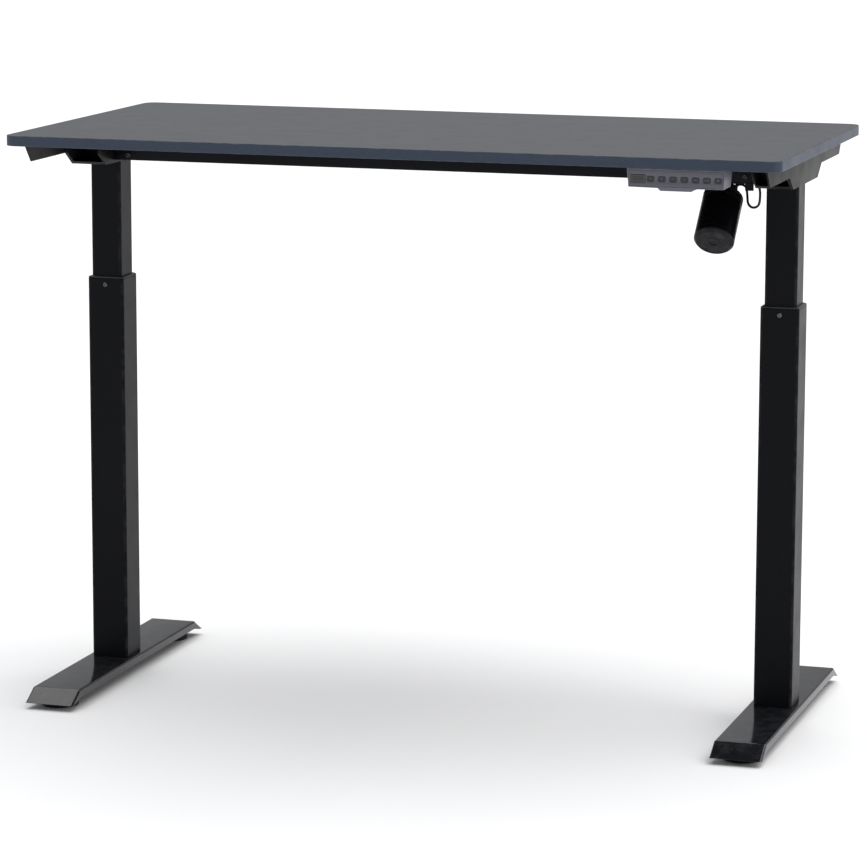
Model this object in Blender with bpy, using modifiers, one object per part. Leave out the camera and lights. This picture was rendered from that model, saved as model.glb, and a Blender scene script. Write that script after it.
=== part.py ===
"""Height adjustable standing desk: two telescopic lifting columns turned by one motor.

Metres, +Z up. The origin is on the floor under the centre of the desktop, and -Y is the
side that the user sits at. The desk is drawn with its columns part way out.
"""

import math

import bmesh
import bpy
from mathutils import Matrix, Vector

# Clearances
GAP = 0.0003  # between pieces that touch
RUNNING = 0.0003  # round a shaft, screw or stud, and beside sliding plastic
TOOTH_GAP = 0.0003  # taken off each gear blank where two of them mesh

# Desktop
DESK_LENGTH = 1.200
DESK_DEPTH = 0.600
DESK_THICKNESS = 0.016
DESK_CORNER_RADIUS = 0.020
DESK_EDGE_ROUND = 0.0012

# Side brackets, under each end of the desktop
BRACKET_INSET = 0.0245  # desktop end to the bracket's outer face
BRACKET_STEEL = 0.0025
BRACKET_HEIGHT = 0.027
BRACKET_TOP_LENGTH = 0.550
BRACKET_BOTTOM_LENGTH = 0.504
BRACKET_FLANGE = 0.040
SKIRT_TOP_LENGTH = 0.234
SKIRT_BOTTOM_LENGTH = 0.176

# Leg heads, on top of each column
HEAD_DROP = 0.047  # desktop's underside to the head's underside
HEAD_STEEL = 0.0025
HEAD_PLATE = 0.0045
HEAD_MARGIN = 0.0025  # beyond the upper tube, each side
HEAD_TOP_ROOM = 0.0006
SPINDLE_HOLE = 0.0160

# Rails
RAIL_SPACING = 0.110  # outer face to outer face
RAIL_FLANGE = 0.015
RAIL_STEEL = 0.002
RAIL_CORNER = 0.0015
LEAD_HOLE = 0.012
LEAD_HOLE_INSET = 0.061  # column axis to the hole in the back rail

# Columns
OUTER_TUBE = 0.060
OUTER_WALL = 0.002
INNER_TUBE = 0.050
INNER_WALL = 0.0018
TUBE_CORNER = 0.004
LOWER_TUBE_LENGTH = 0.6162
REST_EXTENSION = 0.175  # how far the columns are drawn out here
CLOSING_GAP = 0.009  # head to collar with the columns closed
TUBE_OVERLAP = 0.123  # what stays inside with the columns right out
UPPER_END_ROOM = 0.029  # upper tube to base flange with the columns closed
COLLAR_LIP = 0.003
COLLAR_SKIRT = 0.022
COLLAR_SCREW_DROP = 0.010
SHOE_HEIGHT = 0.040
SHOE_LIP = 0.003
SHOE_HOLE = 0.84 * INNER_TUBE

# Lifting screws
SPINDLE_DIAMETER = 0.012
SPINDLE_END_ROOM = 0.017
NUT_ENGAGEMENT = 0.020
NUT_LENGTH = 0.027
NUT_FLANGE = 0.003
NUT_TUBE_DIAMETER = 0.025
NUT_TUBE_WALL = 0.0025
BASE_FLANGE = 0.004
BEARING_DIAMETER = 0.8 * INNER_TUBE
BEARING_HEIGHT = 0.010

# Cross drive
SHAFT_DROP = 0.022  # desktop's underside to the shaft's axis
SHAFT_FLATS = 0.008
GEAR_RADIUS = 0.28 * INNER_TUBE
GEAR_SMALL_RADIUS = 0.17 * INNER_TUBE
GEAR_HUB_RADIUS = 0.009
GEAR_HUB = 0.0045
GEARBOX_DEPTH = 0.064
GEARBOX_WALL = 0.0025
GEARBOX_TOP_ROOM = 0.002

# Motor, hung on the shaft beside the right column
MOTOR_OFFSET = 0.0905  # column axis to motor axis
MOTOR_TILT = math.radians(45)  # of its axis, from straight down towards the user
MOTOR_DIAMETER = 0.061
MOTOR_REACH = 0.139  # from the worm's middle to the end of the cap
MOTOR_CAP = 0.008
MOTOR_FLANGE = 0.004
BARREL_RADIUS = 0.0165
BARREL_REACH = 0.0545  # from the worm's middle to the flange's face
BARREL_NOSE = 0.0127
WORM_CENTRES = 0.0163  # worm axis to shaft axis
WORM_BORE_RADIUS = 0.0065
WHEEL_RADIUS = 0.0106
WHEEL_WIDTH = 0.010
DRUM_RADIUS = 0.0138
DRUM_WIDTH = 0.030
EAR_HEIGHT = 0.008
SCREW_SHANK = 0.004
SCREW_HEAD = 0.008
SCREW_HEAD_HEIGHT = 0.002
EAR_MARGIN = 0.003  # from the rail's flange
EAR_BACK = -0.005
MOTOR_SCREW_INSET = 0.009  # from the rail's flange
MOTOR_BRACKET_STEEL = 0.0025
MOTOR_BRACKET_MARGIN = 0.002  # from each rail's flange
BARREL_ROOM = 0.004  # barrel to the bracket's plate
TAB_FROM_PLATE = 0.0155  # plate's edge beside the barrel to the tab
TAB_WIDTH = 0.013
TAB_DROP = 0.010

# Motor lead
LEAD_DIAMETER = 0.0038
LEAD_PIECE = 0.006  # length of one straight piece of the tube
GLAND_DROP = 0.0255  # worm's middle to the gland's axis, along the barrel
GLAND_COLLAR = 0.002
LEAD_THROUGH_BRACKET = (0.0515, -0.0180)  # right of the motor's axis, and y
# Points along the lead, from the gland on the gearbox to the plug in the control box:
# x from the motor's axis, y, and depth below the desktop's underside.
LEAD_ROUTE = (
    (0.0205, -0.0065, 0.0516),
    (0.0237, -0.0065, 0.0516),
    (0.0267, -0.0069, 0.0521),
    (0.0294, -0.0072, 0.0537),
    (0.0313, -0.0077, 0.0560),
    (0.0324, -0.0085, 0.0589),
    (0.0334, -0.0103, 0.0646),
    (0.0344, -0.0123, 0.0704),
    (0.0354, -0.0142, 0.0762),
    (0.0373, -0.0156, 0.0804),
    (0.0409, -0.0170, 0.0834),
    (0.0454, -0.0182, 0.0843),
    (0.0499, -0.0194, 0.0830),
    (0.0533, -0.0202, 0.0799),
    (0.0548, -0.0207, 0.0755),
    (0.0555, -0.0209, 0.0691),
    (0.0556, -0.0209, 0.0621),
    (0.0545, -0.0201, 0.0552),
    (0.0523, -0.0193, 0.0486),
    (0.0495, -0.0150, 0.0398),
    (0.0465, -0.0060, 0.0355),
    (0.0440, 0.0080, 0.0333),
    (0.0405, 0.0230, 0.0295),
    (0.0345, 0.0380, 0.0250),
    (0.0295, 0.0520, 0.0224),
    (0.0250, 0.0640, 0.0226),
    (0.0160, 0.0780, 0.0248),
    (0.0010, 0.0890, 0.0276),
    (-0.0195, 0.0955, 0.0292),
    (-0.0435, 0.0988, 0.0290),
    (-0.0675, 0.0998, 0.0274),
    (-0.0815, 0.1000, 0.0262),
    (-0.0855, 0.1000, 0.0260),
    (-0.0887, 0.1000, 0.0260),
)

# Control box, behind the back rail
CONTROL_LENGTH = 0.230
CONTROL_DEPTH = 0.090
CONTROL_HEIGHT = 0.034
CONTROL_WALL = 0.0025
CONTROL_CENTRE_X = 0.230
CONTROL_BEHIND_RAIL = 0.007
CONTROL_EAR = 0.014
PLUG_WIDTH = 0.014
PLUG_HEIGHT = 0.010
INLET_WIDTH = 0.028
INLET_HEIGHT = 0.020
INLET_DEPTH = 0.016
INLET_WALL = 0.003
INLET_PROUD = 0.001

# Handset, under the front edge
HANDSET_CENTRE_X = 0.447
HANDSET_TOP_WIDTH = 0.146
HANDSET_BOTTOM_WIDTH = 0.141
HANDSET_HEIGHT = 0.0277
HANDSET_DEPTH = 0.045
HANDSET_SETBACK = 0.002  # behind the desktop's front edge
HANDSET_WALL = 0.0022
HANDSET_GRIP_WIDTH = 0.054
HANDSET_GRIP_DROP = 0.004
HANDSET_END_RISE = 0.0006  # of its lower edge, towards each end
FACE_THICKNESS = 0.0018
FACE_SETBACK = 0.0004
KEY_NAMES = ("up", "down", "one", "two", "three", "four", "memory")
KEY_WIDTH = 0.0105
KEY_HEIGHT = 0.0080
KEY_THICKNESS = 0.0036
KEY_SPACING = 0.0166
KEY_TRAVEL = 0.0008
KEY_CORNER = 0.0020
KEY_DROP = 0.0150  # desktop's underside to the keys' centres
FIRST_KEY_FROM_CENTRE = -0.0374
DISPLAY_WIDTH = 0.022
DISPLAY_HEIGHT = 0.012
DISPLAY_CORNER = 0.0010
DISPLAY_FROM_CENTRE = -0.0560

# Feet
FOOT_HEIGHT = 0.0285
FOOT_WIDTH = 0.079
FOOT_STEEL = 0.0025
FOOT_FLAT = 0.504
FOOT_LENGTH = 0.570
FOOT_WALL_HEIGHT = 0.0125
FLAP_BOTTOM = 0.0095
PAD_SPACING = 0.478
PAD_DIAMETER = 0.058
PAD_HEIGHT = 0.0085
STUD_DIAMETER = 0.008
STUD_BOSS = 0.018
STUD_BOSS_RISE = 0.005  # pad's top to the boss
STUD_ROOM = 0.0008  # stud's top to the foot's sheet

# Smoothness of round shapes
TURN_STEPS = 24
ARC_STEPS = 4

# Worked out from the sizes above
BASE_TOP = FOOT_HEIGHT + GAP + BASE_FLANGE
LOWER_TOP = FOOT_HEIGHT + GAP + LOWER_TUBE_LENGTH
COLLAR_TOP = LOWER_TOP + GAP + COLLAR_LIP
HEAD_BOTTOM = COLLAR_TOP + CLOSING_GAP + REST_EXTENSION
DESK_UNDERSIDE = HEAD_BOTTOM + HEAD_DROP
HEAD_FLOOR = HEAD_BOTTOM + HEAD_PLATE
UPPER_TOP = HEAD_BOTTOM - GAP
UPPER_BOTTOM = BASE_TOP + UPPER_END_ROOM + REST_EXTENSION
LIFT_UP = LOWER_TOP - TUBE_OVERLAP - UPPER_BOTTOM
SPINDLE_BOTTOM = BASE_TOP + SPINDLE_END_ROOM + REST_EXTENSION
NUT_BOTTOM = SPINDLE_BOTTOM + LIFT_UP + NUT_ENGAGEMENT
NUT_TUBE_TOP = NUT_BOTTOM + NUT_LENGTH
HEAD_WIDTH = INNER_TUBE + 2 * HEAD_MARGIN
BRACKET_FACE = DESK_LENGTH / 2 - BRACKET_INSET
COLUMN_X = BRACKET_FACE - BRACKET_STEEL - GAP - HEAD_WIDTH / 2
FLANGE_BOTTOM = DESK_UNDERSIDE - GAP - BRACKET_STEEL
RAIL_BOTTOM = HEAD_FLOOR + GAP
RAIL_TOP = FLANGE_BOTTOM - GAP
RAIL_FACE = RAIL_SPACING / 2
RAIL_INNER = RAIL_FACE - RAIL_FLANGE
SHAFT_Z = DESK_UNDERSIDE - SHAFT_DROP
SHAFT_RADIUS = SHAFT_FLATS / math.sqrt(3)
SHAFT_BORE = SHAFT_RADIUS + RUNNING
SPINDLE_RADIUS = SPINDLE_DIAMETER / 2
SPINDLE_TOP = SHAFT_Z - GEAR_SMALL_RADIUS
MOTOR_X = COLUMN_X - MOTOR_OFFSET
MOTOR_RADIUS = MOTOR_DIAMETER / 2
LEAD_HOLE_X = COLUMN_X - LEAD_HOLE_INSET
CONTROL_TOP = DESK_UNDERSIDE - GAP - CONTROL_WALL - GAP
CONTROL_FRONT = RAIL_FACE + CONTROL_BEHIND_RAIL
CONTROL_RIGHT = CONTROL_CENTRE_X + CONTROL_LENGTH / 2
HANDSET_TOP = DESK_UNDERSIDE - GAP
HANDSET_FRONT = -DESK_DEPTH / 2 + HANDSET_SETBACK
FACE_FRONT = HANDSET_FRONT + FACE_SETBACK

SIDES = {"left": -1, "right": 1}
ENDS = {"front": -1, "back": 1}

# Finishes: colour, roughness, metallic
DESK_FILM = ((0.13, 0.15, 0.18), 0.45, 0.0)
POWDER_COAT = ((0.012, 0.012, 0.013), 0.42, 0.0)
BARE_STEEL = ((0.55, 0.55, 0.56), 0.35, 1.0)
ZINC = ((0.62, 0.63, 0.65), 0.32, 1.0)
BRASS = ((0.72, 0.55, 0.28), 0.35, 1.0)
BLACK_PLASTIC = ((0.02, 0.02, 0.021), 0.5, 0.0)
WHITE_PLASTIC = ((0.75, 0.75, 0.73), 0.45, 0.0)
CAP_PLASTIC = ((0.05, 0.05, 0.052), 0.35, 0.0)
CABLE_JACKET = ((0.015, 0.015, 0.015), 0.5, 0.0)
HANDSET_GREY = ((0.14, 0.135, 0.17), 0.4, 0.0)
DISPLAY_BLACK = ((0.02, 0.02, 0.025), 0.12, 0.0)
KEY_BLACK = ((0.03, 0.03, 0.035), 0.45, 0.0)
RUBBER = ((0.02, 0.02, 0.02), 0.75, 0.0)

TURNS = {
    "X": Matrix(((0, 0, 1), (1, 0, 0), (0, 1, 0))).to_4x4(),
    "Y": Matrix(((1, 0, 0), (0, 0, -1), (0, 1, 0))).to_4x4(),
    "Z": Matrix.Identity(4),
}


# ---------------------------------------------------------------- modelling helpers


def clear_scene():
    for old in list(bpy.data.objects):
        bpy.data.objects.remove(old, do_unlink=True)


def collection(name):
    made = bpy.data.collections.new(name)
    bpy.context.scene.collection.children.link(made)
    return made


def finish_material(name, finish):
    colour, roughness, metallic = finish
    made = bpy.data.materials.new(name)
    made.use_nodes = True
    shader = made.node_tree.nodes["Principled BSDF"]
    shader.inputs["Base Color"].default_value = (*colour, 1)
    shader.inputs["Roughness"].default_value = roughness
    shader.inputs["Metallic"].default_value = metallic
    made.diffuse_color = (*colour, 1)
    return made


def add_piece(name, mesh, place, finish=None):
    """A solid of the desk, or, with no finish, a helper that cuts or joins one."""
    piece = bpy.data.objects.new(name, mesh)
    piece.matrix_world = place
    mesh.shade_smooth()
    mesh.set_sharp_from_angle(angle=math.radians(30))
    if finish is None:
        helpers.objects.link(piece)
        piece.hide_render = True
        piece.display_type = "WIRE"
    else:
        desk.objects.link(piece)
        mesh.materials.append(finish_material(name, finish))
    return piece


def block(name, low, high, finish=None):
    """A box between two corners."""
    low, high = Vector(low), Vector(high)
    shape = bmesh.new()
    bmesh.ops.create_cube(shape, size=1)
    bmesh.ops.scale(shape, vec=high - low, verts=shape.verts)
    mesh = bpy.data.meshes.new(name)
    shape.to_mesh(mesh)
    shape.free()
    return add_piece(name, mesh, Matrix.Translation((low + high) / 2), finish)


def cylinder(name, radius, length, place, finish=None, steps=TURN_STEPS):
    """A cylinder along the local Z axis of its place, centred on it."""
    shape = bmesh.new()
    bmesh.ops.create_cone(
        shape, cap_ends=True, segments=steps, radius1=radius, radius2=radius, depth=length
    )
    mesh = bpy.data.meshes.new(name)
    shape.to_mesh(mesh)
    shape.free()
    return add_piece(name, mesh, place, finish)


def turned(name, profile, place, finish=None, closed=False):
    """A profile of (radius, height) points, top to bottom, turned about the local Z axis.

    An open profile starts and ends on the axis. A closed one makes a ring.
    """
    mesh = bpy.data.meshes.new(name)
    count = len(profile)
    edges = [(i, (i + 1) % count) for i in range(count if closed else count - 1)]
    mesh.from_pydata([(radius, 0, height) for radius, height in profile], edges, [])
    piece = add_piece(name, mesh, place, finish)
    screw = piece.modifiers.new("turn", "SCREW")
    screw.steps = TURN_STEPS
    screw.render_steps = TURN_STEPS
    screw.use_merge_vertices = True
    screw.merge_threshold = 0.00001
    return piece


def solid_from_curve(curve, name, place, finish):
    """The mesh solid of a curve, with its caps joined to its sides."""
    guide = bpy.data.objects.new(name + "_guide", curve)
    helpers.objects.link(guide)
    graph = bpy.context.evaluated_depsgraph_get()
    mesh = bpy.data.meshes.new_from_object(guide.evaluated_get(graph))
    mesh.name = name
    shape = bmesh.new()
    shape.from_mesh(mesh)
    bmesh.ops.remove_doubles(shape, verts=shape.verts, dist=0.000001)
    bmesh.ops.recalc_face_normals(shape, faces=shape.faces)
    shape.to_mesh(mesh)
    shape.free()
    bpy.data.objects.remove(guide)
    return add_piece(name, mesh, place, finish)


def prism(name, outlines, axis, low, high, finish=None):
    """An outline carried along an axis from low to high. Outlines after the first are holes.

    Outline points are (y, z) along X, (x, z) along Y and (x, y) along Z.
    """
    curve = bpy.data.curves.new(name, "CURVE")
    curve.dimensions = "2D"
    curve.fill_mode = "BOTH"
    curve.extrude = (high - low) / 2
    for outline in outlines:
        spline = curve.splines.new("POLY")
        spline.points.add(len(outline) - 1)
        spline.use_cyclic_u = True
        for point, (u, v) in zip(spline.points, outline):
            point.co = (u, v, 0, 1)
    along = {"X": Vector((1, 0, 0)), "Y": Vector((0, 1, 0)), "Z": Vector((0, 0, 1))}[axis]
    place = Matrix.Translation(along * (low + high) / 2) @ TURNS[axis]
    return solid_from_curve(curve, name, place, finish)


def boolean(piece, helper, operation):
    """Cut a helper from a piece, or join it to the piece."""
    modifier = piece.modifiers.new(helper.name, "BOOLEAN")
    modifier.operation = operation
    modifier.object = helper


def rounded(corners, radius, steps=ARC_STEPS):
    """A polygon with an arc of the radius at each corner."""
    outline = []
    for index, corner in enumerate(corners):
        here = Vector(corner)
        before = (Vector(corners[index - 1]) - here).normalized()
        after = (Vector(corners[(index + 1) % len(corners)]) - here).normalized()
        half = before.angle(after) / 2
        centre = here + (before + after).normalized() * radius / math.sin(half)
        start = here + before * radius / math.tan(half) - centre
        end = here + after * radius / math.tan(half) - centre
        for step in range(steps + 1):
            mix = start.slerp(end, step / steps, start.normalized()) * start.length
            outline.append(tuple(centre + mix.normalized() * radius))
    return outline


def rectangle(width, height, centre=(0, 0)):
    """The corners of a rectangle, anticlockwise."""
    u, v = centre
    return [
        (u - width / 2, v - height / 2),
        (u + width / 2, v - height / 2),
        (u + width / 2, v + height / 2),
        (u - width / 2, v + height / 2),
    ]


def square_ring(outer, inner, outer_corner, inner_corner, x):
    """The two outlines of a square tube or ring, round a column's axis."""
    return [
        rounded(rectangle(outer, outer, (x, 0)), outer_corner),
        rounded(rectangle(inner, inner, (x, 0)), inner_corner),
    ]


def body_frame(name, place):
    """An empty that stands for a moving body, at its joint."""
    frame = bpy.data.objects.new(name, None)
    frame.location = place
    desk.objects.link(frame)
    return frame


def hang(frame, *pieces):
    """Parent pieces to a body's frame without moving them."""
    for piece in pieces:
        piece.parent = frame
        piece.matrix_parent_inverse = Matrix.Translation(frame.location).inverted()


# ---------------------------------------------------------------- desktop and brackets


def make_desktop():
    outline = rounded(rectangle(DESK_LENGTH, DESK_DEPTH), DESK_CORNER_RADIUS, 2 * ARC_STEPS)
    top = prism(
        "desktop", [outline], "Z", DESK_UNDERSIDE, DESK_UNDERSIDE + DESK_THICKNESS, DESK_FILM
    )
    edge = top.modifiers.new("eased edges", "BEVEL")
    edge.width = DESK_EDGE_ROUND
    edge.segments = 2
    edge.limit_method = "ANGLE"
    edge.angle_limit = math.radians(40)
    return top


def make_side_bracket(side, sign):
    """An angle under the desktop, whose outer web steps down over the leg head."""
    top = DESK_UNDERSIDE - GAP
    outer = sign * BRACKET_FACE
    web = sign * (BRACKET_FACE - BRACKET_STEEL)
    inner = sign * (BRACKET_FACE - BRACKET_FLANGE)
    section = [
        (outer, HEAD_BOTTOM),
        (outer, top),
        (inner, top),
        (inner, top - BRACKET_STEEL),
        (web, top - BRACKET_STEEL),
        (web, HEAD_BOTTOM),
    ]
    bracket = prism(
        "side_bracket_" + side,
        [section],
        "Y",
        -BRACKET_TOP_LENGTH,
        BRACKET_TOP_LENGTH,
        POWDER_COAT,
    )
    step = top - BRACKET_HEIGHT
    half = [
        (BRACKET_TOP_LENGTH / 2, top + GAP),
        (BRACKET_BOTTOM_LENGTH / 2, step),
        (SKIRT_TOP_LENGTH / 2, step),
        (SKIRT_BOTTOM_LENGTH / 2, HEAD_BOTTOM - GAP),
    ]
    outline = half + [(-y, z) for y, z in reversed(half)]
    low, high = sorted((outer + sign * BRACKET_STEEL, inner - sign * BRACKET_STEEL))
    boolean(bracket, prism("bracket_outline_" + side, [outline], "X", low, high), "INTERSECT")
    return bracket


def make_leg_head(side, sign):
    """A channel welded on the column, notched for the rails and bored for shaft and spindle."""
    x = sign * COLUMN_X
    top = FLANGE_BOTTOM - HEAD_TOP_ROOM
    step = DESK_UNDERSIDE - GAP - BRACKET_HEIGHT
    half = [
        (SKIRT_TOP_LENGTH / 2, top),
        (SKIRT_TOP_LENGTH / 2, step),
        (SKIRT_BOTTOM_LENGTH / 2, HEAD_BOTTOM),
    ]
    web = half + [(-y, z) for y, z in reversed(half)]
    head = prism(
        "leg_head_" + side, [web], "X", x - HEAD_WIDTH / 2, x + HEAD_WIDTH / 2, POWDER_COAT
    )
    inside = HEAD_WIDTH / 2 - HEAD_STEEL
    channel = block(
        "head_channel_" + side,
        (x - inside, -SKIRT_TOP_LENGTH, HEAD_FLOOR),
        (x + inside, SKIRT_TOP_LENGTH, DESK_UNDERSIDE),
    )
    boolean(head, channel, "DIFFERENCE")
    inner_web = sorted((x - sign * inside / 2, x - sign * HEAD_WIDTH))
    for end, toward in ENDS.items():
        notch_y = sorted((toward * (RAIL_FACE + GAP), toward * (RAIL_INNER - GAP)))
        notch = block(
            f"rail_notch_{side}_{end}",
            (inner_web[0], notch_y[0], HEAD_FLOOR),
            (inner_web[1], notch_y[1], DESK_UNDERSIDE),
        )
        boolean(head, notch, "DIFFERENCE")
    shaft_hole = cylinder(
        "shaft_hole_" + side,
        SHAFT_BORE + RUNNING,
        HEAD_WIDTH,
        Matrix.Translation((x - sign * HEAD_WIDTH / 2, 0, SHAFT_Z)) @ TURNS["X"],
    )
    boolean(head, shaft_hole, "DIFFERENCE")
    spindle_hole = cylinder(
        "spindle_hole_" + side,
        SPINDLE_HOLE / 2,
        4 * HEAD_PLATE,
        Matrix.Translation((x, 0, HEAD_BOTTOM)),
    )
    boolean(head, spindle_hole, "DIFFERENCE")
    return head


def make_rail(end, toward):
    """A channel across the desk that opens towards the drive shaft."""
    outer, inner = toward * RAIL_FACE, toward * RAIL_INNER
    web = toward * (RAIL_FACE - RAIL_STEEL)
    section = [
        (inner, RAIL_BOTTOM),
        (outer, RAIL_BOTTOM),
        (outer, RAIL_TOP),
        (inner, RAIL_TOP),
        (inner, RAIL_TOP - RAIL_STEEL),
        (web, RAIL_TOP - RAIL_STEEL),
        (web, RAIL_BOTTOM + RAIL_STEEL),
        (inner, RAIL_BOTTOM + RAIL_STEEL),
    ]
    reach = COLUMN_X + HEAD_WIDTH / 2 - HEAD_STEEL - GAP
    rail = prism(end + "_rail", [section], "X", -reach, reach, POWDER_COAT)
    if end == "back":
        hole = cylinder(
            "lead_hole",
            LEAD_HOLE / 2,
            2 * RAIL_FLANGE,
            Matrix.Translation((LEAD_HOLE_X, RAIL_FACE, SHAFT_Z)) @ TURNS["Y"],
        )
        boolean(rail, hole, "DIFFERENCE")
    return rail


# ---------------------------------------------------------------- columns and lifting screws


def make_upper_column(side, sign):
    inner = INNER_TUBE - 2 * INNER_WALL
    corner = TUBE_CORNER - INNER_WALL
    rings = square_ring(INNER_TUBE, inner, TUBE_CORNER, corner, sign * COLUMN_X)
    return prism("upper_column_" + side, rings, "Z", UPPER_BOTTOM, UPPER_TOP, POWDER_COAT)


def make_slide_shoe(side, sign):
    """A plastic shoe round the upper tube's lower end, which runs in the lower tube."""
    x = sign * COLUMN_X
    outer = OUTER_TUBE - 2 * OUTER_WALL - 2 * RUNNING
    corner = TUBE_CORNER - OUTER_WALL
    sleeve = square_ring(outer, INNER_TUBE + 2 * GAP, corner, TUBE_CORNER, x)
    lip = square_ring(outer, SHOE_HOLE, corner, corner, x)
    shoe = prism(
        "slide_shoe_" + side,
        sleeve,
        "Z",
        UPPER_BOTTOM - GAP - SHOE_LIP / 2,
        UPPER_BOTTOM + SHOE_HEIGHT,
        WHITE_PLASTIC,
    )
    end = prism("shoe_lip_" + side, lip, "Z", UPPER_BOTTOM - GAP - SHOE_LIP, UPPER_BOTTOM - GAP)
    boolean(shoe, end, "UNION")
    return shoe


def screw_place(sign):
    """Where a collar screw's axis crosses the lower tube's front face, pointing at the user."""
    spot = (sign * COLUMN_X, -OUTER_TUBE / 2, LOWER_TOP - COLLAR_SCREW_DROP)
    return Matrix.Translation(spot) @ TURNS["Y"]


def make_lower_column(side, sign):
    inner = OUTER_TUBE - 2 * OUTER_WALL
    corner = TUBE_CORNER - OUTER_WALL
    rings = square_ring(OUTER_TUBE, inner, TUBE_CORNER, corner, sign * COLUMN_X)
    column = prism("lower_column_" + side, rings, "Z", FOOT_HEIGHT + GAP, LOWER_TOP, POWDER_COAT)
    hole = cylinder(
        "tube_screw_hole_" + side, SCREW_SHANK / 2 + RUNNING, 4 * OUTER_WALL, screw_place(sign)
    )
    boolean(column, hole, "DIFFERENCE")
    return column


def make_collar(side, sign):
    """A plastic guide in the mouth of the lower tube, with a lip over its end."""
    x = sign * COLUMN_X
    inner = INNER_TUBE + 2 * RUNNING + 2 * GAP
    skirt_outer = OUTER_TUBE - 2 * OUTER_WALL - 2 * GAP
    lip = square_ring(OUTER_TUBE, inner, TUBE_CORNER, TUBE_CORNER, x)
    skirt = square_ring(skirt_outer, inner, TUBE_CORNER - OUTER_WALL, TUBE_CORNER, x)
    collar = prism("column_collar_" + side, lip, "Z", LOWER_TOP + GAP, COLLAR_TOP, BLACK_PLASTIC)
    sleeve = prism(
        "collar_skirt_" + side,
        skirt,
        "Z",
        LOWER_TOP - COLLAR_SKIRT,
        LOWER_TOP + GAP + COLLAR_LIP / 2,
    )
    boolean(collar, sleeve, "UNION")
    hole = cylinder(
        "collar_screw_hole_" + side,
        SCREW_SHANK / 2 + RUNNING,
        1.4 * (OUTER_TUBE - INNER_TUBE),
        screw_place(sign),
    )
    boolean(collar, hole, "DIFFERENCE")
    return collar


def screw_profile(length):
    """A round head above zero and a plain shank below it."""
    head, shank = SCREW_HEAD / 2, SCREW_SHANK / 2
    return [
        (0, SCREW_HEAD_HEIGHT),
        (0.8 * head, SCREW_HEAD_HEIGHT),
        (head, 0.5 * SCREW_HEAD_HEIGHT),
        (head, 0),
        (shank, 0),
        (shank, -length),
        (0, -length),
    ]


def make_collar_screw(side, sign):
    proud = Matrix.Translation((0, 0, GAP))
    room = OUTER_TUBE / 2 - OUTER_WALL - INNER_TUBE / 2 - 2 * GAP
    length = GAP + OUTER_WALL + GAP + 0.8 * room
    return turned("collar_screw_" + side, screw_profile(length), screw_place(sign) @ proud, ZINC)


def make_nut_tube(side, sign):
    """The tube that holds the nut up inside the column, on a square flange on the foot."""
    x = sign * COLUMN_X
    radius = NUT_TUBE_DIAMETER / 2
    tube = turned(
        "nut_tube_" + side,
        [
            (radius, NUT_TUBE_TOP),
            (radius, FOOT_HEIGHT + GAP + BASE_FLANGE / 2),
            (radius - NUT_TUBE_WALL, FOOT_HEIGHT + GAP + BASE_FLANGE / 2),
            (radius - NUT_TUBE_WALL, NUT_TUBE_TOP),
        ],
        Matrix.Translation((x, 0, 0)),
        BARE_STEEL,
        closed=True,
    )
    width = OUTER_TUBE - 2 * OUTER_WALL - 2 * GAP
    flange = prism(
        "base_flange_" + side,
        [rounded(rectangle(width, width, (x, 0)), TUBE_CORNER - OUTER_WALL)],
        "Z",
        FOOT_HEIGHT + GAP,
        BASE_TOP,
    )
    boolean(tube, flange, "UNION")
    return tube


def make_nut(side, sign):
    """The fixed nut: a spigot in the nut tube and a flange on its end."""
    bore = SPINDLE_RADIUS + RUNNING
    spigot = NUT_TUBE_DIAMETER / 2 - NUT_TUBE_WALL - GAP
    seat = NUT_TUBE_TOP + GAP
    profile = [
        (bore, seat + NUT_FLANGE),
        (NUT_TUBE_DIAMETER / 2, seat + NUT_FLANGE),
        (NUT_TUBE_DIAMETER / 2, seat),
        (spigot, seat),
        (spigot, NUT_BOTTOM),
        (bore, NUT_BOTTOM),
    ]
    place = Matrix.Translation((sign * COLUMN_X, 0, 0))
    return turned("spindle_nut_" + side, profile, place, WHITE_PLASTIC, closed=True)


def make_spindle(side, sign):
    profile = [
        (0, SPINDLE_TOP),
        (SPINDLE_RADIUS, SPINDLE_TOP),
        (SPINDLE_RADIUS, SPINDLE_BOTTOM + SPINDLE_RADIUS / 4),
        (0.75 * SPINDLE_RADIUS, SPINDLE_BOTTOM),
        (0, SPINDLE_BOTTOM),
    ]
    place = Matrix.Translation((sign * COLUMN_X, 0, 0))
    return turned("lift_spindle_" + side, profile, place, BARE_STEEL)


def make_bearing(side, sign):
    """The bearing that hangs the spindle from the leg head, inside the upper tube."""
    top = HEAD_BOTTOM - GAP
    bore = SPINDLE_RADIUS + RUNNING
    edge = 0.0006
    profile = [
        (bore, top),
        (BEARING_DIAMETER / 2 - edge, top),
        (BEARING_DIAMETER / 2, top - edge),
        (BEARING_DIAMETER / 2, top - BEARING_HEIGHT),
        (bore, top - BEARING_HEIGHT),
    ]
    place = Matrix.Translation((sign * COLUMN_X, 0, 0))
    return turned("spindle_bearing_" + side, profile, place, BARE_STEEL, closed=True)


# ---------------------------------------------------------------- cross drive


def gear_profile(bore):
    """A bevel gear blank whose cone meets the axis at zero, with its hub below."""
    return [
        (bore, -GEAR_SMALL_RADIUS),
        (GEAR_SMALL_RADIUS - TOOTH_GAP, -GEAR_SMALL_RADIUS),
        (GEAR_RADIUS - TOOTH_GAP, -GEAR_RADIUS),
        (GEAR_HUB_RADIUS, -GEAR_RADIUS),
        (GEAR_HUB_RADIUS, -GEAR_RADIUS - GEAR_HUB),
        (bore, -GEAR_RADIUS - GEAR_HUB),
    ]


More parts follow.
